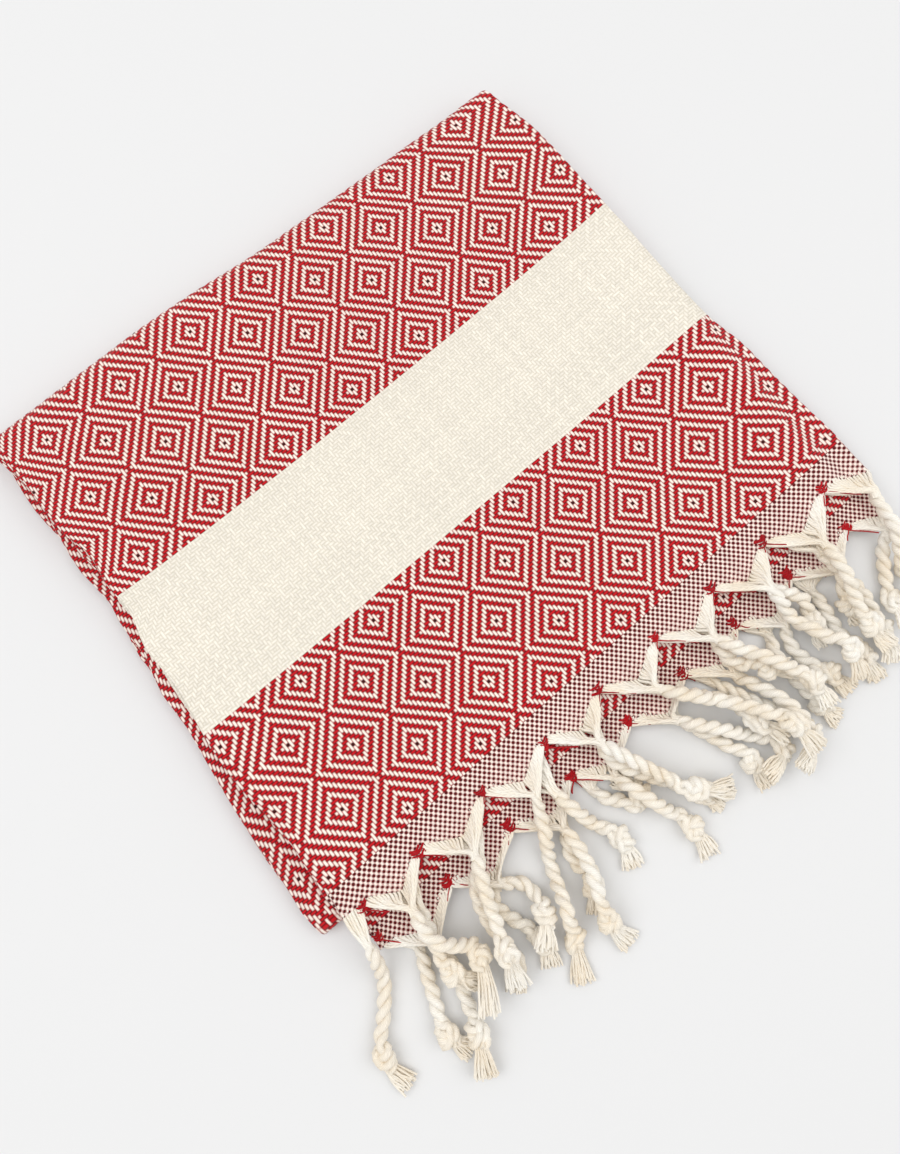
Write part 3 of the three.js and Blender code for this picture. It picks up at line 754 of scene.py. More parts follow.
# %% The rim
rounded = {}
hem_s, far_s = outer_rim["hem"][1].copy(), outer_rim["far"][1].copy()
for row in (hem_s, far_s):
    row[0] -= ROUND
    row[-1] += ROUND
rounded["hem"] = keep(hem_s, with_tongues(hem_s, 0.0) - ROUND, 0)
rounded["far"] = keep(far_s, with_tongues(far_s, FLAT_LENGTH) + ROUND, 0)
for side, s in (("start", -ROUND), ("finish", FLAT_WIDTH + ROUND)):
    v = outer_rim[side][1][1:-1]
    inside = keep(np.full(len(v), s), with_tongues(np.full(len(v), s), v), 0)
    at = 0 if side == "start" else -1
    rounded[side] = np.concatenate([[rounded["hem"][at]], inside, [rounded["far"][at]]])

rim_faces = []
for side, turned_over in (("hem", False), ("far", True), ("start", True), ("finish", False)):
    outside, at_outside = outer_rim[side]
    inside, at_inside = inner_rim[side]
    strip = zipper(rounded[side], outside, at_outside, at_outside)
    strip += zipper(inside, rounded[side], at_inside, at_outside)
    rim_faces += [face[::-1] for face in strip] if turned_over else strip
print("faces of the rim:", len(rim_faces))

# %% The mesh
cloth_points = placed(np.concatenate(points))
cloth_points[:, 2] = np.maximum(cloth_points[:, 2], 0)
cloth_faces = outer_faces + inner_faces + rim_faces
cloth_mesh = bpy.data.meshes.new("cloth")
cloth_mesh.from_pydata(cloth_points.tolist(), [], cloth_faces)
cloth_mesh.validate()
loop_points = np.empty(len(cloth_mesh.loops), int)
cloth_mesh.loops.foreach_get("vertex_index", loop_points)
threads = cloth_mesh.uv_layers.new(name="threads")
threads.data.foreach_set("uv", np.concatenate(thread_counts)[loop_points].ravel())
cloth_mesh.polygons.foreach_set("use_smooth", [True] * len(cloth_mesh.polygons))
cloth_mesh.materials.append(cloth_finish)
cloth = bpy.data.objects.new("cloth", cloth_mesh)
bpy.context.scene.collection.objects.link(cloth)


def closed_volume(mesh):
    """The volume inside a mesh in mm3, and how many of its edges aren't shared by two faces."""
    mesh.calc_loop_triangles()
    corners = np.empty(len(mesh.loop_triangles) * 3, int)
    mesh.loop_triangles.foreach_get("vertices", corners)
    at = np.empty(len(mesh.vertices) * 3)
    mesh.vertices.foreach_get("co", at)
    a, b, c = at.reshape(-1, 3)[corners].reshape(-1, 3, 3).transpose(1, 0, 2)
    volume = np.einsum("ij,ij->i", a, np.cross(b, c)).sum() / 6
    sides = np.sort(np.concatenate([corners.reshape(-1, 3)[:, [i, (i + 1) % 3]] for i in range(3)]), -1)
    shared = np.unique(sides, axis=0, return_counts=True)[1]
    return round(volume / MM**3), int((shared != 2).sum()), len(mesh.loop_triangles)


print("cloth: volume, open edges, triangles:", closed_volume(cloth_mesh))

# %% [markdown]
# ## How the tassels lie
#
# The tassels are laid one after another in plan, the lower end's first. Each cord is as low as it can be: it
# leaves its hem at the hem's height, slopes down no steeper than a stiff cord does, and goes over what was laid
# before it. In the table, "under" tassels belong to the lower ply of their hem and "over" tassels to the upper
# ply. Then follow the tooth's number, the root, a point on the cord, the middle of the knot and the end of the
# tuft, in millimetres.

# %% Tassels
SEAM_STRIP = 2.3
WEB_LAID = np.array([0, 0.2, 0.4, 0.6, 0.8])
WEB_WIDE, WEB_HIGH, WEB_FREE = 3, 0.75, 0.4
ROOT, CORD, ROOT_RUN = 1.1, 2.7, 7
KNOT_WIDE, KNOT_HIGH, KNOT_HALF = 4.6, 3.7, 4.5
TUFT_WIDE, TUFT_HIGH = 4.2, 1.7
FROM_HEM = 12
CLEAR = 0.8
SLOPE = 0.8
STEPS = 21
KNOT_SAMPLE = 14
TASSELS = {
    "lower": (
        ("under", 1, (-119, -27), (-124, -40), (-130, -56), (-127, -68)),
        ("under", 2, (-83, -29), (-88, -35), (-83, -54), (-87, -65)),
        ("under", 3, (-50, -29), (-55, -39), (-56, -52), (-62, -62)),
        ("under", 4, (-33, -27), (-30, -35), (-21, -40), (-24, -28)),
        ("under", 5, (9, -28), (15, -44), (19, -59), (18, -71)),
        ("under", 6, (29, -27), (35, -42), (41, -54), (45, -66)),
        ("under", 7, (58, -28), (54, -38), (54, -60), (56, -71)),
        ("under", 8, (83, -27), (79, -46), (80, -58), (78, -70)),
        ("over", 1, (-112, -29), (-114, -42), (-121, -62), (-129, -77)),
        ("over", 2, (-82, -28), (-75, -36), (-76, -47), (-85, -57)),
        ("over", 3, (-51, -29), (-52, -42), (-60, -64), (-59, -78)),
        ("over", 4, (-24, -28), (-20, -43), (-14, -61), (-16, -75)),
        ("over", 5, (7, -27), (19, -43), (32, -62), (17, -65)),
        ("over", 6, (36, -29), (42, -46), (42, -66), (29, -72)),
        ("over", 7, (64, -29), (61, -40), (65, -54), (67, -66)),
        ("over", 8, (95, -28), (97, -40), (92, -56), (86, -68)),
        ("over", 9, (120, -28), (112, -37), (103, -50), (99, -61)),
    ),
    "upper": (
        ("under", 1, (-108, -14), (-112, -28), (-114, -40), (-108, -51)),
        ("under", 2, (-79, -14), (-91, -28), (-96, -53), (-103, -63)),
        ("under", 3, (-45, -16), (-42, -34), (-37, -47), (-41, -59)),
        ("under", 4, (-20, -14), (-20, -26), (-3, -54), (1, -65)),
        ("under", 5, (9, -14), (26, -34), (30, -48), (35, -60)),
        ("under", 6, (38, -14), (38, -25), (46, -36), (55, -43)),
        ("under", 7, (68, -14), (75, -26), (73, -36), (70, -46)),
        ("under", 8, (92, -15), (93, -27), (88, -40), (87, -48)),
        ("over", 0, (-130, -12), (-136, -28), (-152, -47), (-151, -62)),
        ("over", 1, (-110, -13), (-111, -26), (-103, -42), (-114, -60)),
        ("over", 2, (-81, -13), (-88, -30), (-94, -46), (-100, -61)),
        ("over", 3, (-51, -13), (-64, -39), (-74, -62), (-82, -77)),
        ("over", 4, (-21, -13), (-14, -32), (-5, -50), (8, -61)),
        ("over", 5, (8, -13), (27, -37), (37, -55), (38, -70)),
        ("over", 6, (37, -13), (46, -31), (55, -50), (54, -63)),
        ("over", 7, (66, -13), (67, -31), (74, -51), (71, -64)),
        ("over", 8, (94, -14), (90, -33), (86, -49), (88, -62)),
        ("over", 9, (125, -13), (119, -33), (112, -52), (108, -64)),
    ),
}


def beyond_hem(end, outward):
    """Warp place of something that far past a hem."""
    return -outward if end == "upper" else FLAT_LENGTH + outward


def tooth_span(end, side, tooth):
    """The two places across the weft between which a tooth's warp lies."""
    first, second = notches(end)
    if tooth > TEETH:
        return first[-1], second[-1]
    own = first if (end == "upper") == (side == "over") else second
    edge = 0 if own is first else FLAT_WIDTH
    return (own[tooth - 1] if tooth else edge), own[tooth]


def run_along(line):
    """How far along a line each of its points is."""
    return np.insert(np.cumsum(np.linalg.norm(np.diff(line, axis=0), axis=1)), 0, 0)


def plan(root, mid, knot, tip):
    """Points of a tassel in plan with their distance from the root, half width and half height."""
    root, mid, knot, tip = (np.array(p, float) for p in (root, mid, knot, tip))
    ways = [root + (0, FROM_HEM), root, mid, knot, tip, 2 * tip - knot]
    at = []
    for part in np.arange(STEPS + 1) / STEPS * 3:
        k = min(2, int(part + ALMOST))
        f = part - k
        a, b, c, d = ways[k:k + 4]
        at.append(0.5 * (2 * b + f * (c - a + f * (2 * a - 5 * b + 4 * c - d + f * (3 * b - a - 3 * c + d)))))
    at = np.array(at)
    run = run_along(at)
    past_knot = run - run[KNOT_SAMPLE]
    body = ROOT + (CORD - ROOT) * smooth(run / ROOT_RUN)
    tuft = smooth(past_knot / KNOT_HALF)
    lump = np.maximum(0, 1 - (past_knot / KNOT_HALF) ** 2)
    wide = body + (TUFT_WIDE - body) * tuft + lump * (KNOT_WIDE - CORD)
    high = body + (TUFT_HIGH - body) * tuft + lump * (KNOT_HIGH - CORD)
    return at, run, wide, high


def over_lower_hem(x, y, wide, high):
    """The height that clears the lower hem and its first loose threads, or 0 away from them."""
    left, right = reach("under", y)
    beside = (y < -UNDER_HEM - SEAM_STRIP - wide) | (x < left - wide) | (x > right + wide)
    on = np.maximum(y, -UNDER_HEM - SEAM_STRIP)
    top = (2.5 * PITCH + LAYER / 2 + PITCH / 2 - LAYER_GAP) * swell(x, on) - sag(x, on) + CLEAR + high
    return np.where(beside, 0, top)


def rest_height(end, x, y, wide, high, below):
    """The least height over the table and over what was laid before, one number for each point."""
    z = np.maximum(high, over_lower_hem(x, y, wide, high) if end == "upper" else 0)
    if len(below):
        gap = np.hypot(x[:, None] - below[:, 0], y[:, None] - below[:, 1])
        share = gap / (wide[:, None] + below[:, 3] + CLEAR)
        lift = (high[:, None] + below[:, 4] + CLEAR) * np.sqrt(np.maximum(0, 1 - share**4))
        z = np.maximum(z, np.where(share < 1, below[:, 2] + lift, 0).max(1))
    return z


def web_points(end, side, tooth, root):
    """Points over a tooth's loose warp, each with its share of the way and its hem's height."""
    start, stop = tooth_span(end, side, tooth)
    hem = on_cloth(start + (stop - start) * np.append(WEB_LAID, 1), beyond_hem(end, SEAM_STRIP), 0)
    hem, share = np.repeat(hem, len(WEB_LAID), 0), np.tile(WEB_LAID, len(hem))
    return hem + (root - hem) * share[:, None], share, hem[:, 2]


def lay(laid, end, side, tooth, *ways):
    """Lays one tassel on those in laid and adds it to them. Columns: x, y, z, half width, half height, group."""
    at, run, wide, high = plan(*ways)
    group = 2 * (end == "upper") + (side == "over")
    hem = on_cloth(np.mean(tooth_span(end, side, tooth)), beyond_hem(end, SEAM_STRIP), 0)
    floor = rest_height(end, *at.T, wide, high, laid)
    spread, share, hem_z = web_points(end, side, tooth, np.array([*at[0], 0]))
    free = share >= WEB_FREE
    size = np.full(free.sum(), WEB_WIDE), np.full(free.sum(), WEB_HIGH)
    least = rest_height(end, *spread[free, :2].T, *size, laid[laid[:, 5] != group])
    floor[0] = max(floor[0], ((least - (1 - share[free]) * hem_z[free]) / share[free]).max())
    from_hem = hem[2] - SLOPE * (np.hypot(*(hem[:2] - at[0])) + run)
    z = np.maximum(from_hem, (floor - SLOPE * np.abs(run[:, None] - run)).max(1))
    line = np.column_stack([at, z])
    spread = web_points(end, side, tooth, line[0])[0]
    new = [
        np.column_stack([spread, np.full(len(spread), WEB_WIDE), np.full(len(spread), WEB_HIGH)]),
        np.column_stack([line, wide, high]),
    ]
    new = np.concatenate(new)
    return line, np.concatenate([laid, np.column_stack([new, np.full(len(new), group)])])


laid = np.empty((0, 6))
lines = {}
for end in TASSELS:
    for tassel in TASSELS[end]:
        line, laid = lay(laid, end, *tassel)
        lines[end, tassel[0], tassel[1]] = line
print("tassels laid:", len(lines), "highest point, mm:", round((laid[:, 2] + laid[:, 4]).max(), 1))

# %% [markdown]
# ## Spinning yarn along a path
#
# One Geometry Nodes tree makes the cords, the loose warp and the tufts. It takes thin lines, smooths them, puts a
# number of plies round each, turns them about the line once per lay, and sweeps a round section along every ply.
# It also stores where a point is round its ply and along it, so the material can draw the fine yarns of the ply.
# The thickness and the hand of the twist are attributes of the lines.

# %% The yarn tree
yarn_tree = bpy.data.node_groups.new("spun_yarn", "GeometryNodeTree")
yarn_tree.is_modifier = True
yarn_tree.interface.new_socket("Geometry", in_out="OUTPUT", socket_type="NodeSocketGeometry")
for name, kind in (
    ("Geometry", "Geometry"), ("Plies", "Int"), ("Ply Radius", "Float"), ("Ply Offset", "Float"),
    ("Lay", "Float"), ("Spacing", "Float"), ("Sides", "Int"), ("Material", "Material"),
):
    yarn_tree.interface.new_socket(name, in_out="INPUT", socket_type="NodeSocket" + kind)

g = yarn_tree
given = g.nodes.new("NodeGroupInput").outputs
thick = add(g, "GeometryNodeInputNamedAttribute", {"Name": "thick"}, data_type="FLOAT")
hand = add(g, "GeometryNodeInputNamedAttribute", {"Name": "hand"}, data_type="FLOAT")
curve = add(g, "GeometryNodeMeshToCurve", (given["Geometry"],))
curve = add(g, "GeometryNodeCurveSplineType", (curve,), spline_type="CATMULL_ROM")
curve = add(g, "GeometryNodeResampleCurve", {"Curve": curve, "Length": given["Spacing"]}, mode="LENGTH")
curve = add(g, "GeometryNodeDuplicateElements", {"Geometry": curve, "Amount": given["Plies"]}, domain="SPLINE")
index = g.nodes[-1].outputs["Duplicate Index"]
run = add(g, "GeometryNodeSplineParameter", out="Length")
angle = add(g, MATH, (run, given["Lay"]), operation="DIVIDE")
angle = add(g, MATH, (angle, hand), operation="MULTIPLY")
share = add(g, MATH, (index, given["Plies"]), operation="DIVIDE")
angle = add(g, MATH, (angle, share), operation="ADD")
angle = add(g, MATH, (angle, 2 * np.pi), operation="MULTIPLY")
normal = add(g, "GeometryNodeInputNormal")
tangent = add(g, "GeometryNodeInputTangent")
turned = {"Vector": normal, "Axis": tangent, "Angle": angle}
out = add(g, "ShaderNodeVectorRotate", turned, rotation_type="AXIS_ANGLE")
away = add(g, MATH, (given["Ply Offset"], thick), operation="MULTIPLY")
out = add(g, "ShaderNodeVectorMath", {0: out, "Scale": away}, operation="SCALE")
curve = add(g, "GeometryNodeSetPosition", {"Geometry": curve, "Offset": out})
store = "GeometryNodeStoreNamedAttribute"
curve = add(g, store, {"Geometry": curve, "Name": "along", "Value": run}, data_type="FLOAT", domain="POINT")
ring = add(g, "GeometryNodeCurvePrimitiveCircle", {"Resolution": given["Sides"], "Radius": 1.0}, mode="RADIUS")
place = add(g, "GeometryNodeInputPosition")
placed_on = {"Geometry": ring, "Name": "around", "Value": place}
ring = add(g, store, placed_on, data_type="FLOAT_VECTOR", domain="POINT")
size = add(g, MATH, (given["Ply Radius"], thick), operation="MULTIPLY")
swept = {"Curve": curve, "Profile Curve": ring, "Scale": size, "Fill Caps": True}
body = add(g, "GeometryNodeCurveToMesh", swept)
body = add(g, "GeometryNodeSetShadeSmooth", {"Geometry": body, "Shade Smooth": True})
body = add(g, "GeometryNodeRealizeInstances", (body,))
body = add(g, "GeometryNodeSetMaterial", {"Geometry": body, "Material": given["Material"]})
g.links.new(body, g.nodes.new("NodeGroupOutput").inputs[0])
print("nodes in the yarn tree:", len(g.nodes))


# %% Lines and what is spun along them
def spin(name, strands, material, **settings):
    """One mesh of yarn along strands, each with its points in mm, thickness shares and hand of the twist."""
    mesh = bpy.data.meshes.new(name + "_lines")
    counts_of = [len(s[0]) for s in strands]
    starts = np.insert(np.cumsum(counts_of), 0, 0)
    edges = [(a + i, a + i + 1) for a, n in zip(starts, counts_of) for i in range(n - 1)]
    mesh.from_pydata(placed(np.concatenate([s[0] for s in strands])).tolist(), edges, [])
    for attribute, values in (
        ("thick", np.concatenate([np.broadcast_to(s[1], n) for s, n in zip(strands, counts_of)])),
        ("hand", np.concatenate([np.full(n, s[2]) for s, n in zip(strands, counts_of)])),
    ):
        layer = mesh.attributes.new(attribute, "FLOAT", "POINT")
        layer.data.foreach_set("value", values.astype(float))
    piece = bpy.data.objects.new(name, mesh)
    bpy.context.scene.collection.objects.link(piece)
    modifier = piece.modifiers.new("yarn", "NODES")
    modifier.node_group = yarn_tree
    settings["Material"] = material
    for item in yarn_tree.interface.items_tree:
        key = item.name.lower().replace(" ", "_")
        if item.in_out == "INPUT" and (key in settings or item.name in settings):
            modifier[item.identifier] = settings.get(key, settings.get(item.name))
    evaluated = piece.evaluated_get(bpy.context.evaluated_depsgraph_get())
    solid = bpy.data.meshes.new_from_object(evaluated)
    solid.name = name
    piece.modifiers.clear()
    piece.data = solid
    bpy.data.meshes.remove(mesh)
    print(f"{name}: {len(strands)} lines; volume, open edges, triangles:", closed_volume(solid))
    return piece


# %% [markdown]
# ## Yarn finish
#
# The fringe is the cloth's own warp: unbleached cotton, many fine yarns side by side. Stripes that wind round the
# ply stand for them, as a bump and as painted shade in the grooves between them, and a slow noise makes some
# lengths a little more yellow.

# %% Material of the yarn
YARNS_ROUND = 9
# Radians of winding per metre, the bump's distance in metres, and noise in features per metre.
YARN_WINDING = 900.0
YARN_RELIEF = 0.00016
UNEVEN_SCALE = 420.0
TINT_SCALE = 60.0


def yarn_finish(name, yarns, light, dark, deepest):
    """Cotton yarn of that many fine yarns to a ply, in two colours. Between the yarns the painted shade falls to
    deepest.
    """
    material, t = new_material(name)
    around = add(t, "ShaderNodeAttribute", attribute_name="around", out=1)
    split = t.nodes.new("ShaderNodeSeparateXYZ")
    t.links.new(around, split.inputs[0])
    angle = add(t, MATH, (split.outputs[1], split.outputs[0]), operation="ARCTAN2")
    along_ply = add(t, "ShaderNodeAttribute", attribute_name="along", out=2)
    wound = add(t, MATH, (along_ply, YARN_WINDING), operation="MULTIPLY")
    wound = add(t, MATH, (angle, wound), operation="ADD")
    place = add(t, "ShaderNodeTexCoord", out=3)
    uneven = add(t, "ShaderNodeTexNoise", {"Vector": place, "Scale": UNEVEN_SCALE, "Detail": 2.0})
    uneven = add(t, "ShaderNodeMapRange", (uneven, 0.3, 0.7, -0.5, 0.5))
    wound = add(t, MATH, (wound, uneven), operation="ADD")
    stripes = add(t, MATH, (wound, float(yarns)), operation="MULTIPLY")
    stripes = add(t, MATH, (stripes,), operation="SINE")
    height = add(t, "ShaderNodeMapRange", (stripes, -1.0, 1.0, 0.0, 1.0))
    tint = add(t, "ShaderNodeTexNoise", {"Vector": place, "Scale": TINT_SCALE, "Detail": 3.0})
    tint = add(t, "ShaderNodeMapRange", (tint, 0.35, 0.65, 0.0, 1.0))
    colour = add(t, MIX, {0: tint, 6: linear(light), 7: linear(dark)}, out=2, data_type="RGBA")
    # Painted shade: the colour darkens in the grooves between the fine yarns, down to deepest.
    shade = add(t, "ShaderNodeMapRange", (height, 0.0, 1.0, deepest, 1.0))
    colour = add(t, "ShaderNodeVectorMath", {0: colour, "Scale": shade}, operation="SCALE")
    bump = add(t, "ShaderNodeBump", {"Strength": 0.7, "Distance": YARN_RELIEF, "Height": height})
    surface = add(t, "ShaderNodeBsdfPrincipled", {
        "Base Color": colour, "Roughness": 0.9, "IOR": 1.5, "Normal": bump,
        "Sheen Weight": 0.12, "Sheen Roughness": 0.5, "Specular IOR Level": 0.2,
    })
    finish_with(t, surface)
    return material


cord_finish = yarn_finish("unbleached_cotton_cord", YARNS_ROUND, "#fffaf0", "#f8ecd8", 0.88)
thread_finish = yarn_finish("unbleached_cotton_thread", 3, "#fffaf0", "#f8ecd8", 0.88)
red_finish = yarn_finish("red_cotton_thread", 3, "#c8101c", "#a80a16", 0.6)

# %% [markdown]
# ## Cords and knots
#
# Each cord is two plies twisted together. Near its tip it makes an overhand knot: the line goes round itself,
# crosses itself and goes through its own loop. The knot's line is written once, in the directions along, across
# and above the cord, and every knot is turned a little differently.

# %% Cords
PLY_RADIUS = 1.56
PLY_AWAY = 1.3
LIFT = 0.16
CORD_LAY = 10.8
KNOT_SIZE = 1.15
KNOT_LOW = 0.8
KNOT_ROOM = 7.0
KNOT_ROLL, KNOT_YAW = 0.35, 0.3
# Shares of the full thickness at the root, in the knot and at the cord's end.
ROOT_THICK, KNOT_THICK, TIP_THICK = 0.62, 0.9, 0.55
TABLE_CLEAR = 0.12
KNOT_LINE = np.array([
    (-4.6, 0.4, 0), (-2.3, 1.7, 0.6), (-1.4, 1.0, 1.3), (0, -1, -1.3), (1.41, -2, -0.4), (2, -1.4, 0.3),
    (1.4, 1, 1.3), (0, 2, 0), (-1.4, 1, -1.3), (-2, -1.4, -0.3), (-1.41, -2, 0.4), (0, -1, 1.3),
    (1.4, 1, -1.3), (2.3, 1.7, -0.6), (4.6, 0.4, 0),
])
# A few cords were twisted the other way round.
OTHER_HAND = {("upper", "over", 0), ("upper", "over", 4), ("lower", "over", 2), ("lower", "under", 6)}
rng = np.random.default_rng(20)


def directions(line, i):
    """Along, across and above a line at one of its points."""
    ahead = line[min(i + 1, len(line) - 1)] - line[i - 1]
    ahead = ahead / np.linalg.norm(ahead)
    across = np.array([-ahead[1], ahead[0], 0]) / np.hypot(ahead[0], ahead[1])
    return ahead, across, np.cross(ahead, across)


cords = {"upper": [], "lower": []}
for key, line in lines.items():
    a, b, c = directions(line, KNOT_SAMPLE)
    roll, yaw = rng.uniform(-KNOT_ROLL, KNOT_ROLL), rng.uniform(-KNOT_YAW, KNOT_YAW)
    a, b = a * np.cos(yaw) + b * np.sin(yaw), b * np.cos(yaw) - a * np.sin(yaw)
    b, c = b * np.cos(roll) + c * np.sin(roll), c * np.cos(roll) - b * np.sin(roll)
    flip = rng.choice([-1, 1])
    knot = KNOT_LINE * (KNOT_SIZE, KNOT_SIZE * flip, KNOT_LOW * flip)
    knot = line[KNOT_SAMPLE] + knot @ np.array([a, b, c])
    run = run_along(line)
    kept = line[:KNOT_SAMPLE][run[KNOT_SAMPLE] - run[:KNOT_SAMPLE] > KNOT_ROOM]
    thick = ROOT_THICK + (1 - ROOT_THICK) * smooth(run[:len(kept)] / ROOT_RUN)
    way = np.concatenate([kept, knot]) + (0, 0, LIFT)
    thick = np.concatenate([thick, np.full(len(knot) - 1, KNOT_THICK), [TIP_THICK]])
    way[:, 2] = np.maximum(way[:, 2], thick * (PLY_RADIUS + PLY_AWAY) + TABLE_CLEAR)
    cords[key[0]].append((way, thick, 1 if key in OTHER_HAND else -1))

pieces = []
for end in cords:
    pieces.append(spin(f"cords_{end}_end", cords[end], cord_finish, plies=2, ply_radius=PLY_RADIUS * MM,
                       ply_offset=PLY_AWAY * MM, lay=CORD_LAY * MM, spacing=0.9 * MM, sides=10))

# %% [markdown]
# ## Loose warp and tufts
#
# Between the woven edge and a tassel's root the warp threads of a tooth come together in two arms, one for each
# ply of the cord. An arm is drawn towards its notch, more in some teeth than in others. Under the upper ply of a
# hem only the middle of the lower ply's fan would show, so its threads keep to that.

# %% Loose threads
THREAD_RADIUS = 0.66
FEWEST_THREADS = 5
UNDER_SPREAD = 0.45
UNDER_MIDDLE = (0.25, 0.75)
# Where a thread starts and leaves the cloth, before and beyond the woven edge, and how much it moves up or down.
BEFORE_EDGE, START_STRAY = 1.2, 0.25
BEYOND_EDGE, LEAVE_STRAY = 1.0, 0.3
NOTCH_DEPTH = 1.5
# How much an arm is drawn towards its notch, from least to most, and how far along a thread its middle point is.
ARMS = {"left": (0.35, 0.9), "right": (0.1, 0.4)}
ARM_START, ARM_REST = 0.3, 0.55
FROM_CLOTH, FROM_CORD = 0.45, 0.55
SLACK, SLACK_UP = 0.2, 0.6
PLY_SIDE = 0.8
INTO_CORD, IN_CORD = 3.0, 0.8
THREAD_THICK = (0.85, 1.1)
OFF_TABLE = 1.1
GOLDEN = np.pi * (3 - 5**0.5)


def disc(count, radius):
    """Even places in a disc."""
    k = np.arange(count)
    round_it = np.column_stack([np.cos(k * GOLDEN), np.sin(k * GOLDEN)])
    return radius * np.sqrt((k + 0.5) / count)[:, None] * round_it


def gathered(key, line):
    """The threads between a tooth's woven edge and its cord."""
    end, side, _ = key
    start, stop = sorted(tooth_span(*key))
    count = max(FEWEST_THREADS, round((stop - start) / END_SPACING))
    share = (np.arange(count) + 0.5) / count
    if side == "under":
        from_x, to_x = on_cloth([start, stop], beyond_hem(end, 0), 0)[:, 0]
        share = UNDER_SPREAD * (share - 0.5) + np.clip((line[0, 0] - from_x) / (to_x - from_x), *UNDER_MIDDLE)
    s = start + (stop - start) * share
    edge = edge_beyond(end, s)
    base = on_cloth(s, beyond_hem(end, edge - BEFORE_EDGE), rng.uniform(-START_STRAY, START_STRAY, count))
    lift = on_cloth(s, beyond_hem(end, edge + BEYOND_EDGE), rng.uniform(-LEAVE_STRAY, LEAVE_STRAY, count))
    notch = on_cloth(np.where(share < 0.5, start, stop), beyond_hem(end, NOTCH_DEPTH), 0)
    from_notch = 1 - np.abs(2 * share - 1)
    drawn = {arm: rng.uniform(*ARMS[arm]) for arm in ARMS}
    ahead, _, above = directions(line, 1)
    right = np.array([ahead[1], -ahead[0], 0]) / np.hypot(*ahead[:2])
    order = np.argsort((base[:, :2] - line[0, :2]) @ right[:2])
    half = np.empty(count)
    half[order] = np.where(np.arange(count) < count / 2, -1, 1)
    ways = []
    for ply in (-1, 1):
        members = np.flatnonzero(half == ply)
        places = disc(len(members), 1.0)
        places = places[np.argsort(places[:, 0])]
        from_left = np.argsort((base[members, :2] - line[0, :2]) @ right[:2])
        for thread, (p, q) in zip(members[from_left], places):
            foot = line[0] + PLY_SIDE * ply * right + right * p + above * q
            inside = line[0] + ahead * INTO_CORD + PLY_SIDE * ply * right + IN_CORD * (right * p + above * q)
            slack = rng.normal(0, SLACK, 3) * (1, 1, SLACK_UP)
            in_arm = notch[thread] + (foot - notch[thread]) * (ARM_START + ARM_REST * from_notch[thread])
            straight = FROM_CLOTH * lift[thread] + FROM_CORD * foot
            share_in = drawn["left" if base[thread, 0] < line[0, 0] else "right"]
            middle = share_in * in_arm + (1 - share_in) * straight + slack
            way = np.array([base[thread], lift[thread], middle, foot, inside])
            way[:, 2] = np.maximum(way[:, 2], OFF_TABLE * THREAD_RADIUS)
            ways.append((way, rng.uniform(*THREAD_THICK), 1))
    return ways


# %% [markdown]
# Past the knot the twist is gone, and the cord's threads spread out on the table as a short brush. They start
# inside the knot, in a disc across the line, and each strays a little more the further it gets.

# %% Tufts
TUFT_RADIUS = 0.44
TUFT_THREADS = 46
TUFT_START = 2.6
TUFT_SHORT = (-3.2, -0.4)
TUFT_ALONG = np.array([0, 0.3, 0.6, 1.0])
TUFT_HALF, TUFT_SPREAD = 1.9, 2.3
TUFT_UP, TUFT_SINK = 1.6, 0.2
STRAY_ACROSS, STRAY_UP = 0.5, 0.2
TUFT_THICK = (0.85, 1.15)
TUFT_OFF_TABLE = 1.15
UP = np.array([0, 0, 1.0])


def brush(line):
    """The threads past a tassel's knot."""
    run = run_along(line)
    ahead, across, _ = directions(line, STEPS - 2)
    knot_run = run[KNOT_SAMPLE]
    ways = []
    for p, q in disc(TUFT_THREADS, 1.0):
        length = run[-1] - knot_run + rng.uniform(*TUFT_SHORT)
        at = knot_run + TUFT_START + (length - TUFT_START) * TUFT_ALONG
        way = np.column_stack([np.interp(at, run, line[:, i]) for i in range(3)])
        way += ahead * np.maximum(0, at - run[-1])[:, None]
        spread = (TUFT_HALF + TUFT_SPREAD * smooth(TUFT_ALONG))[:, None] * p
        height = (TUFT_UP - TUFT_SINK * TUFT_ALONG)[:, None] * q
        astray = rng.normal(0, STRAY_ACROSS, (4, 1)) * TUFT_ALONG[:, None]
        raised = rng.normal(0, STRAY_UP, (4, 1)) * TUFT_ALONG[:, None]
        way += across * (spread + astray) + UP * (height + raised)
        way[:, 2] = np.maximum(way[:, 2], TUFT_OFF_TABLE * TUFT_RADIUS)
        ways.append((way, rng.uniform(*TUFT_THICK), 1))
    return ways


threads_of = {"upper": [], "lower": []}
tufts_of = {"upper": [], "lower": []}
for key, line in lines.items():
    threads_of[key[0]] += gathered(key, line)
    tufts_of[key[0]] += brush(line)

for end in threads_of:
    pieces.append(spin(f"loose_warp_{end}_end", threads_of[end], thread_finish, plies=1, lay=MM,
                       ply_radius=THREAD_RADIUS * MM, ply_offset=0.0, spacing=1.2 * MM, sides=5))
    pieces.append(spin(f"tufts_{end}_end", tufts_of[end], thread_finish, plies=1, lay=MM,
                       ply_radius=TUFT_RADIUS * MM, ply_offset=0.0, spacing=1.3 * MM, sides=5))

# %% [markdown]
# ## Weft at the notches
#
# Between two teeth nothing holds the last picks. They bunch up and bow out of the notch as small loops, and a
# short end of the last one is pulled along the warp of the teeth on both sides.

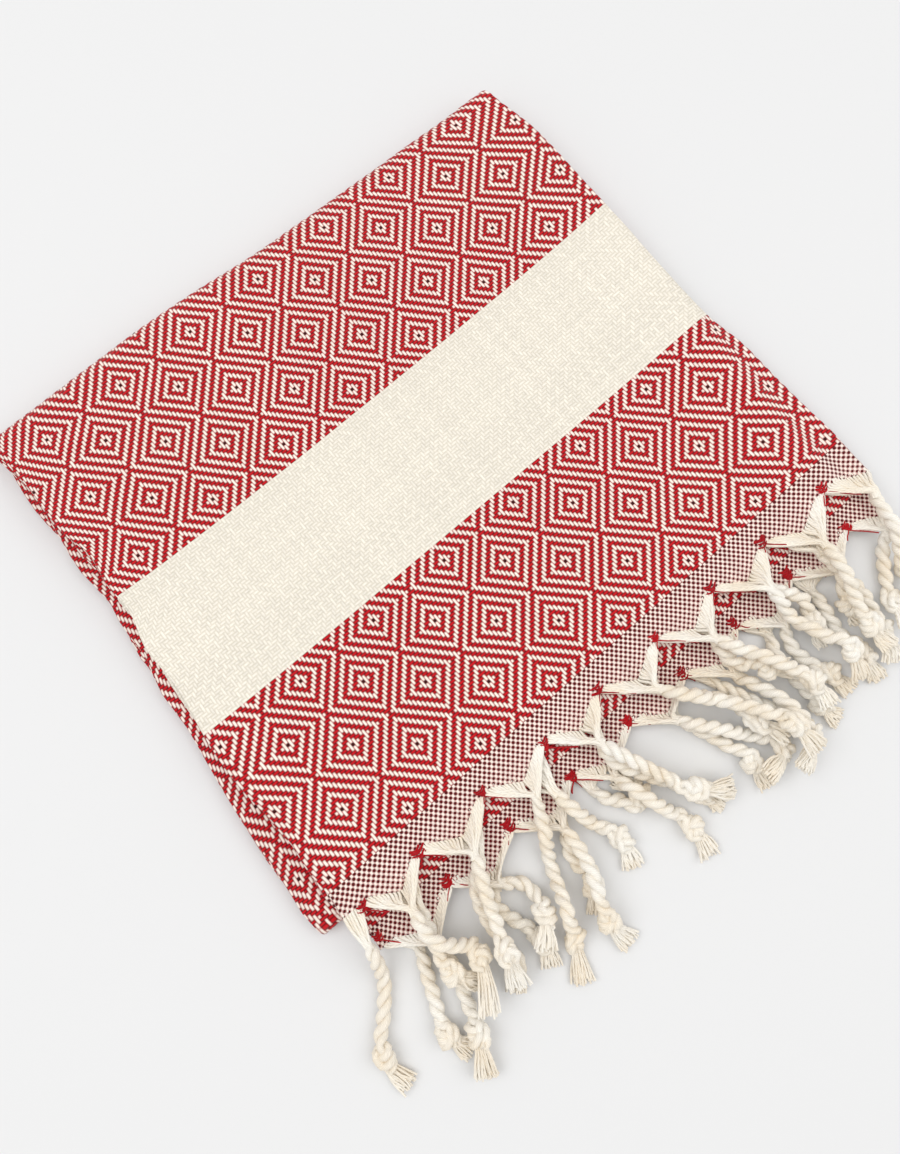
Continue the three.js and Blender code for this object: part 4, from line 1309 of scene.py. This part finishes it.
# %% Weft loops
LOOP_RADIUS = 0.42
LOOP_DEPTHS = {"upper": (-1.6, -1.0, -0.4, 0.2, 0.8, 1.3), "lower": (-1.8, -1.2, -0.6, 0.0, 0.6, 1.2, 1.8)}
LOOP_HALF = 2.2
LOOP_NARROWS = 0.3
LOOP_SIZE = (0.75, 1.15)
LOOP_WIDTH = (0.6, 1.25)
LOOP_THICK = (0.75, 1.1)
LOOP_STRAY = {"across": 0.4, "out": 0.2, "up": 0.1}
# The five points of a loop: across in halves of its width, how far they hang back, and their height in the cloth.
LOOP_ACROSS = np.array([-1, -0.55, 0, 0.55, 1])
LOOP_BACK = np.array([-1.1, -0.4, 0, -0.4, -1.1])
LOOP_UP = np.array([0.35, 0.65, 0.8, 0.65, 0.35])
TAIL_THICK = 0.6
TAIL_FROM, TAIL_UP = 0.9, 0.5
TAIL_BESIDE = 2.1
TAIL_ALONG = np.array([0, 0.25, 0.5, 0.75, 1])
TAIL_PART = (0.4, 1)
TAIL_STRAY = 0.12
# How far a tail goes at most to the tooth on its left and on its right.
TAIL_LEFT, TAIL_RIGHT = 0.35, 0.8

loops = []
for end in TASSELS:
    outs = np.array(NOTCHES[end])[:, 1]
    for side, own in zip(("over", "under"), notches(end) if end == "upper" else notches(end)[::-1]):
        for k, (notch, out) in enumerate(zip(own, outs)):
            size = rng.uniform(*LOOP_SIZE)
            for depth in LOOP_DEPTHS[end]:
                half = size * (LOOP_HALF - LOOP_NARROWS * max(0, depth)) * rng.uniform(*LOOP_WIDTH)
                s = notch + rng.normal(0, LOOP_STRAY["across"]) + half * LOOP_ACROSS
                outward = out + size * depth + rng.normal(0, LOOP_STRAY["out"]) + LOOP_BACK
                way = on_cloth(s, beyond_hem(end, outward), LOOP_UP + rng.normal(0, LOOP_STRAY["up"]))
                loops.append((way, rng.uniform(*LOOP_THICK), 1))
            tip = on_cloth(notch, beyond_hem(end, out + TAIL_FROM), TAIL_UP)
            for tooth, longest in ((k, TAIL_LEFT), (k + 1, TAIL_RIGHT)):
                if (end, side, tooth) in lines:
                    root = lines[end, side, tooth][0]
                    towards = (root - tip) / np.linalg.norm((root - tip)[:2])
                    outer = np.array([towards[1], -towards[0], 0])
                    goal = root + TAIL_BESIDE * outer * (1 if outer[1] < 0 else -1)
                    shares = rng.uniform(*TAIL_PART) * longest * TAIL_ALONG
                    way = tip + (goal - tip) * shares[:, None] + rng.normal(0, TAIL_STRAY, (5, 3))
                    loops.append((way, TAIL_THICK, 1))

weft_loops = spin("weft_loops", loops, red_finish, plies=1, lay=MM,
                  ply_radius=LOOP_RADIUS * MM, ply_offset=0.0, spacing=0.8 * MM, sides=6)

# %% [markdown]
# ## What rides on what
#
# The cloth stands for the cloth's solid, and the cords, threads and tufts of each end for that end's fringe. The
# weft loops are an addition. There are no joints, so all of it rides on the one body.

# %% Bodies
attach(weft_loops, "root")
for piece in pieces:
    end = "upper" if "upper" in piece.name else "lower"
    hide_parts(f"fringe_{end}_end")
    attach(piece, "root")
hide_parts("towel_cloth")
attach(cloth, "root")

# %% [markdown]
# ## Table and light
#
# The towel lies on a plain white sweep. Most of the light comes evenly from all round, and a large lamp above
# either side of the picture gives the folds and the cords short soft shadows.

# %% Stage
floor_mesh = bpy.data.meshes.new("floor")
FLOOR_HALF = 3
ROOM_LIGHT = 0.74
floor_corners = [(x * FLOOR_HALF, y * FLOOR_HALF, 0) for x, y in ((-1, -1), (1, -1), (1, 1), (-1, 1))]
floor_mesh.from_pydata(floor_corners, [], [(0, 1, 2, 3)])
floor_finish, t = new_material("matt_white_sweep")
surface = add(t, "ShaderNodeBsdfPrincipled", {"Base Color": linear("#e2e2e2"), "Roughness": 0.8, "IOR": 1.45})
finish_with(t, surface)
floor_mesh.materials.append(floor_finish)
floor = bpy.data.objects.new("floor", floor_mesh)
bpy.context.scene.collection.objects.link(floor)
floor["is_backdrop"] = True

world = bpy.data.worlds.new("soft_room")
world.use_nodes = True
background = world.node_tree.nodes["Background"].inputs
background["Color"].default_value = linear("#fbfbfb")
background["Strength"].default_value = ROOM_LIGHT
bpy.context.scene.world = world

for name, place, aim, size, power in (
    ("window", (-0.7, 0.6, 1.5), (0, 0, 0), 1.2, 10.5),
    ("fill", (0.9, -0.6, 1.5), (0.1, -0.1, 0), 1.6, 10.5),
):
    lamp = bpy.data.lights.new(name, "AREA")
    lamp.energy = power
    lamp.size = size
    light = bpy.data.objects.new(name, lamp)
    light.location = place
    light.rotation_euler = (Vector(aim) - Vector(place)).to_track_quat("-Z", "Y").to_euler()
    bpy.context.scene.collection.objects.link(light)

bpy.context.scene.view_settings.view_transform = "Standard"
bpy.context.scene.view_settings.look = "None"

# %% [markdown]
# ## Sizes
#
# Both boxes, the solids' and the visual model's, are printed. The visual model may stand only a little proud of
# the solids' box.

# %% Finish
visual_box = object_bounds()
sizes = {"cad": [list(corner) for corner in cad_box], "visual": [list(corner) for corner in visual_box]}
for name, (low, high) in sizes.items():
    print(name, "box in mm:", np.round(np.array(low) / MM, 1), np.round(np.array(high) / MM, 1))
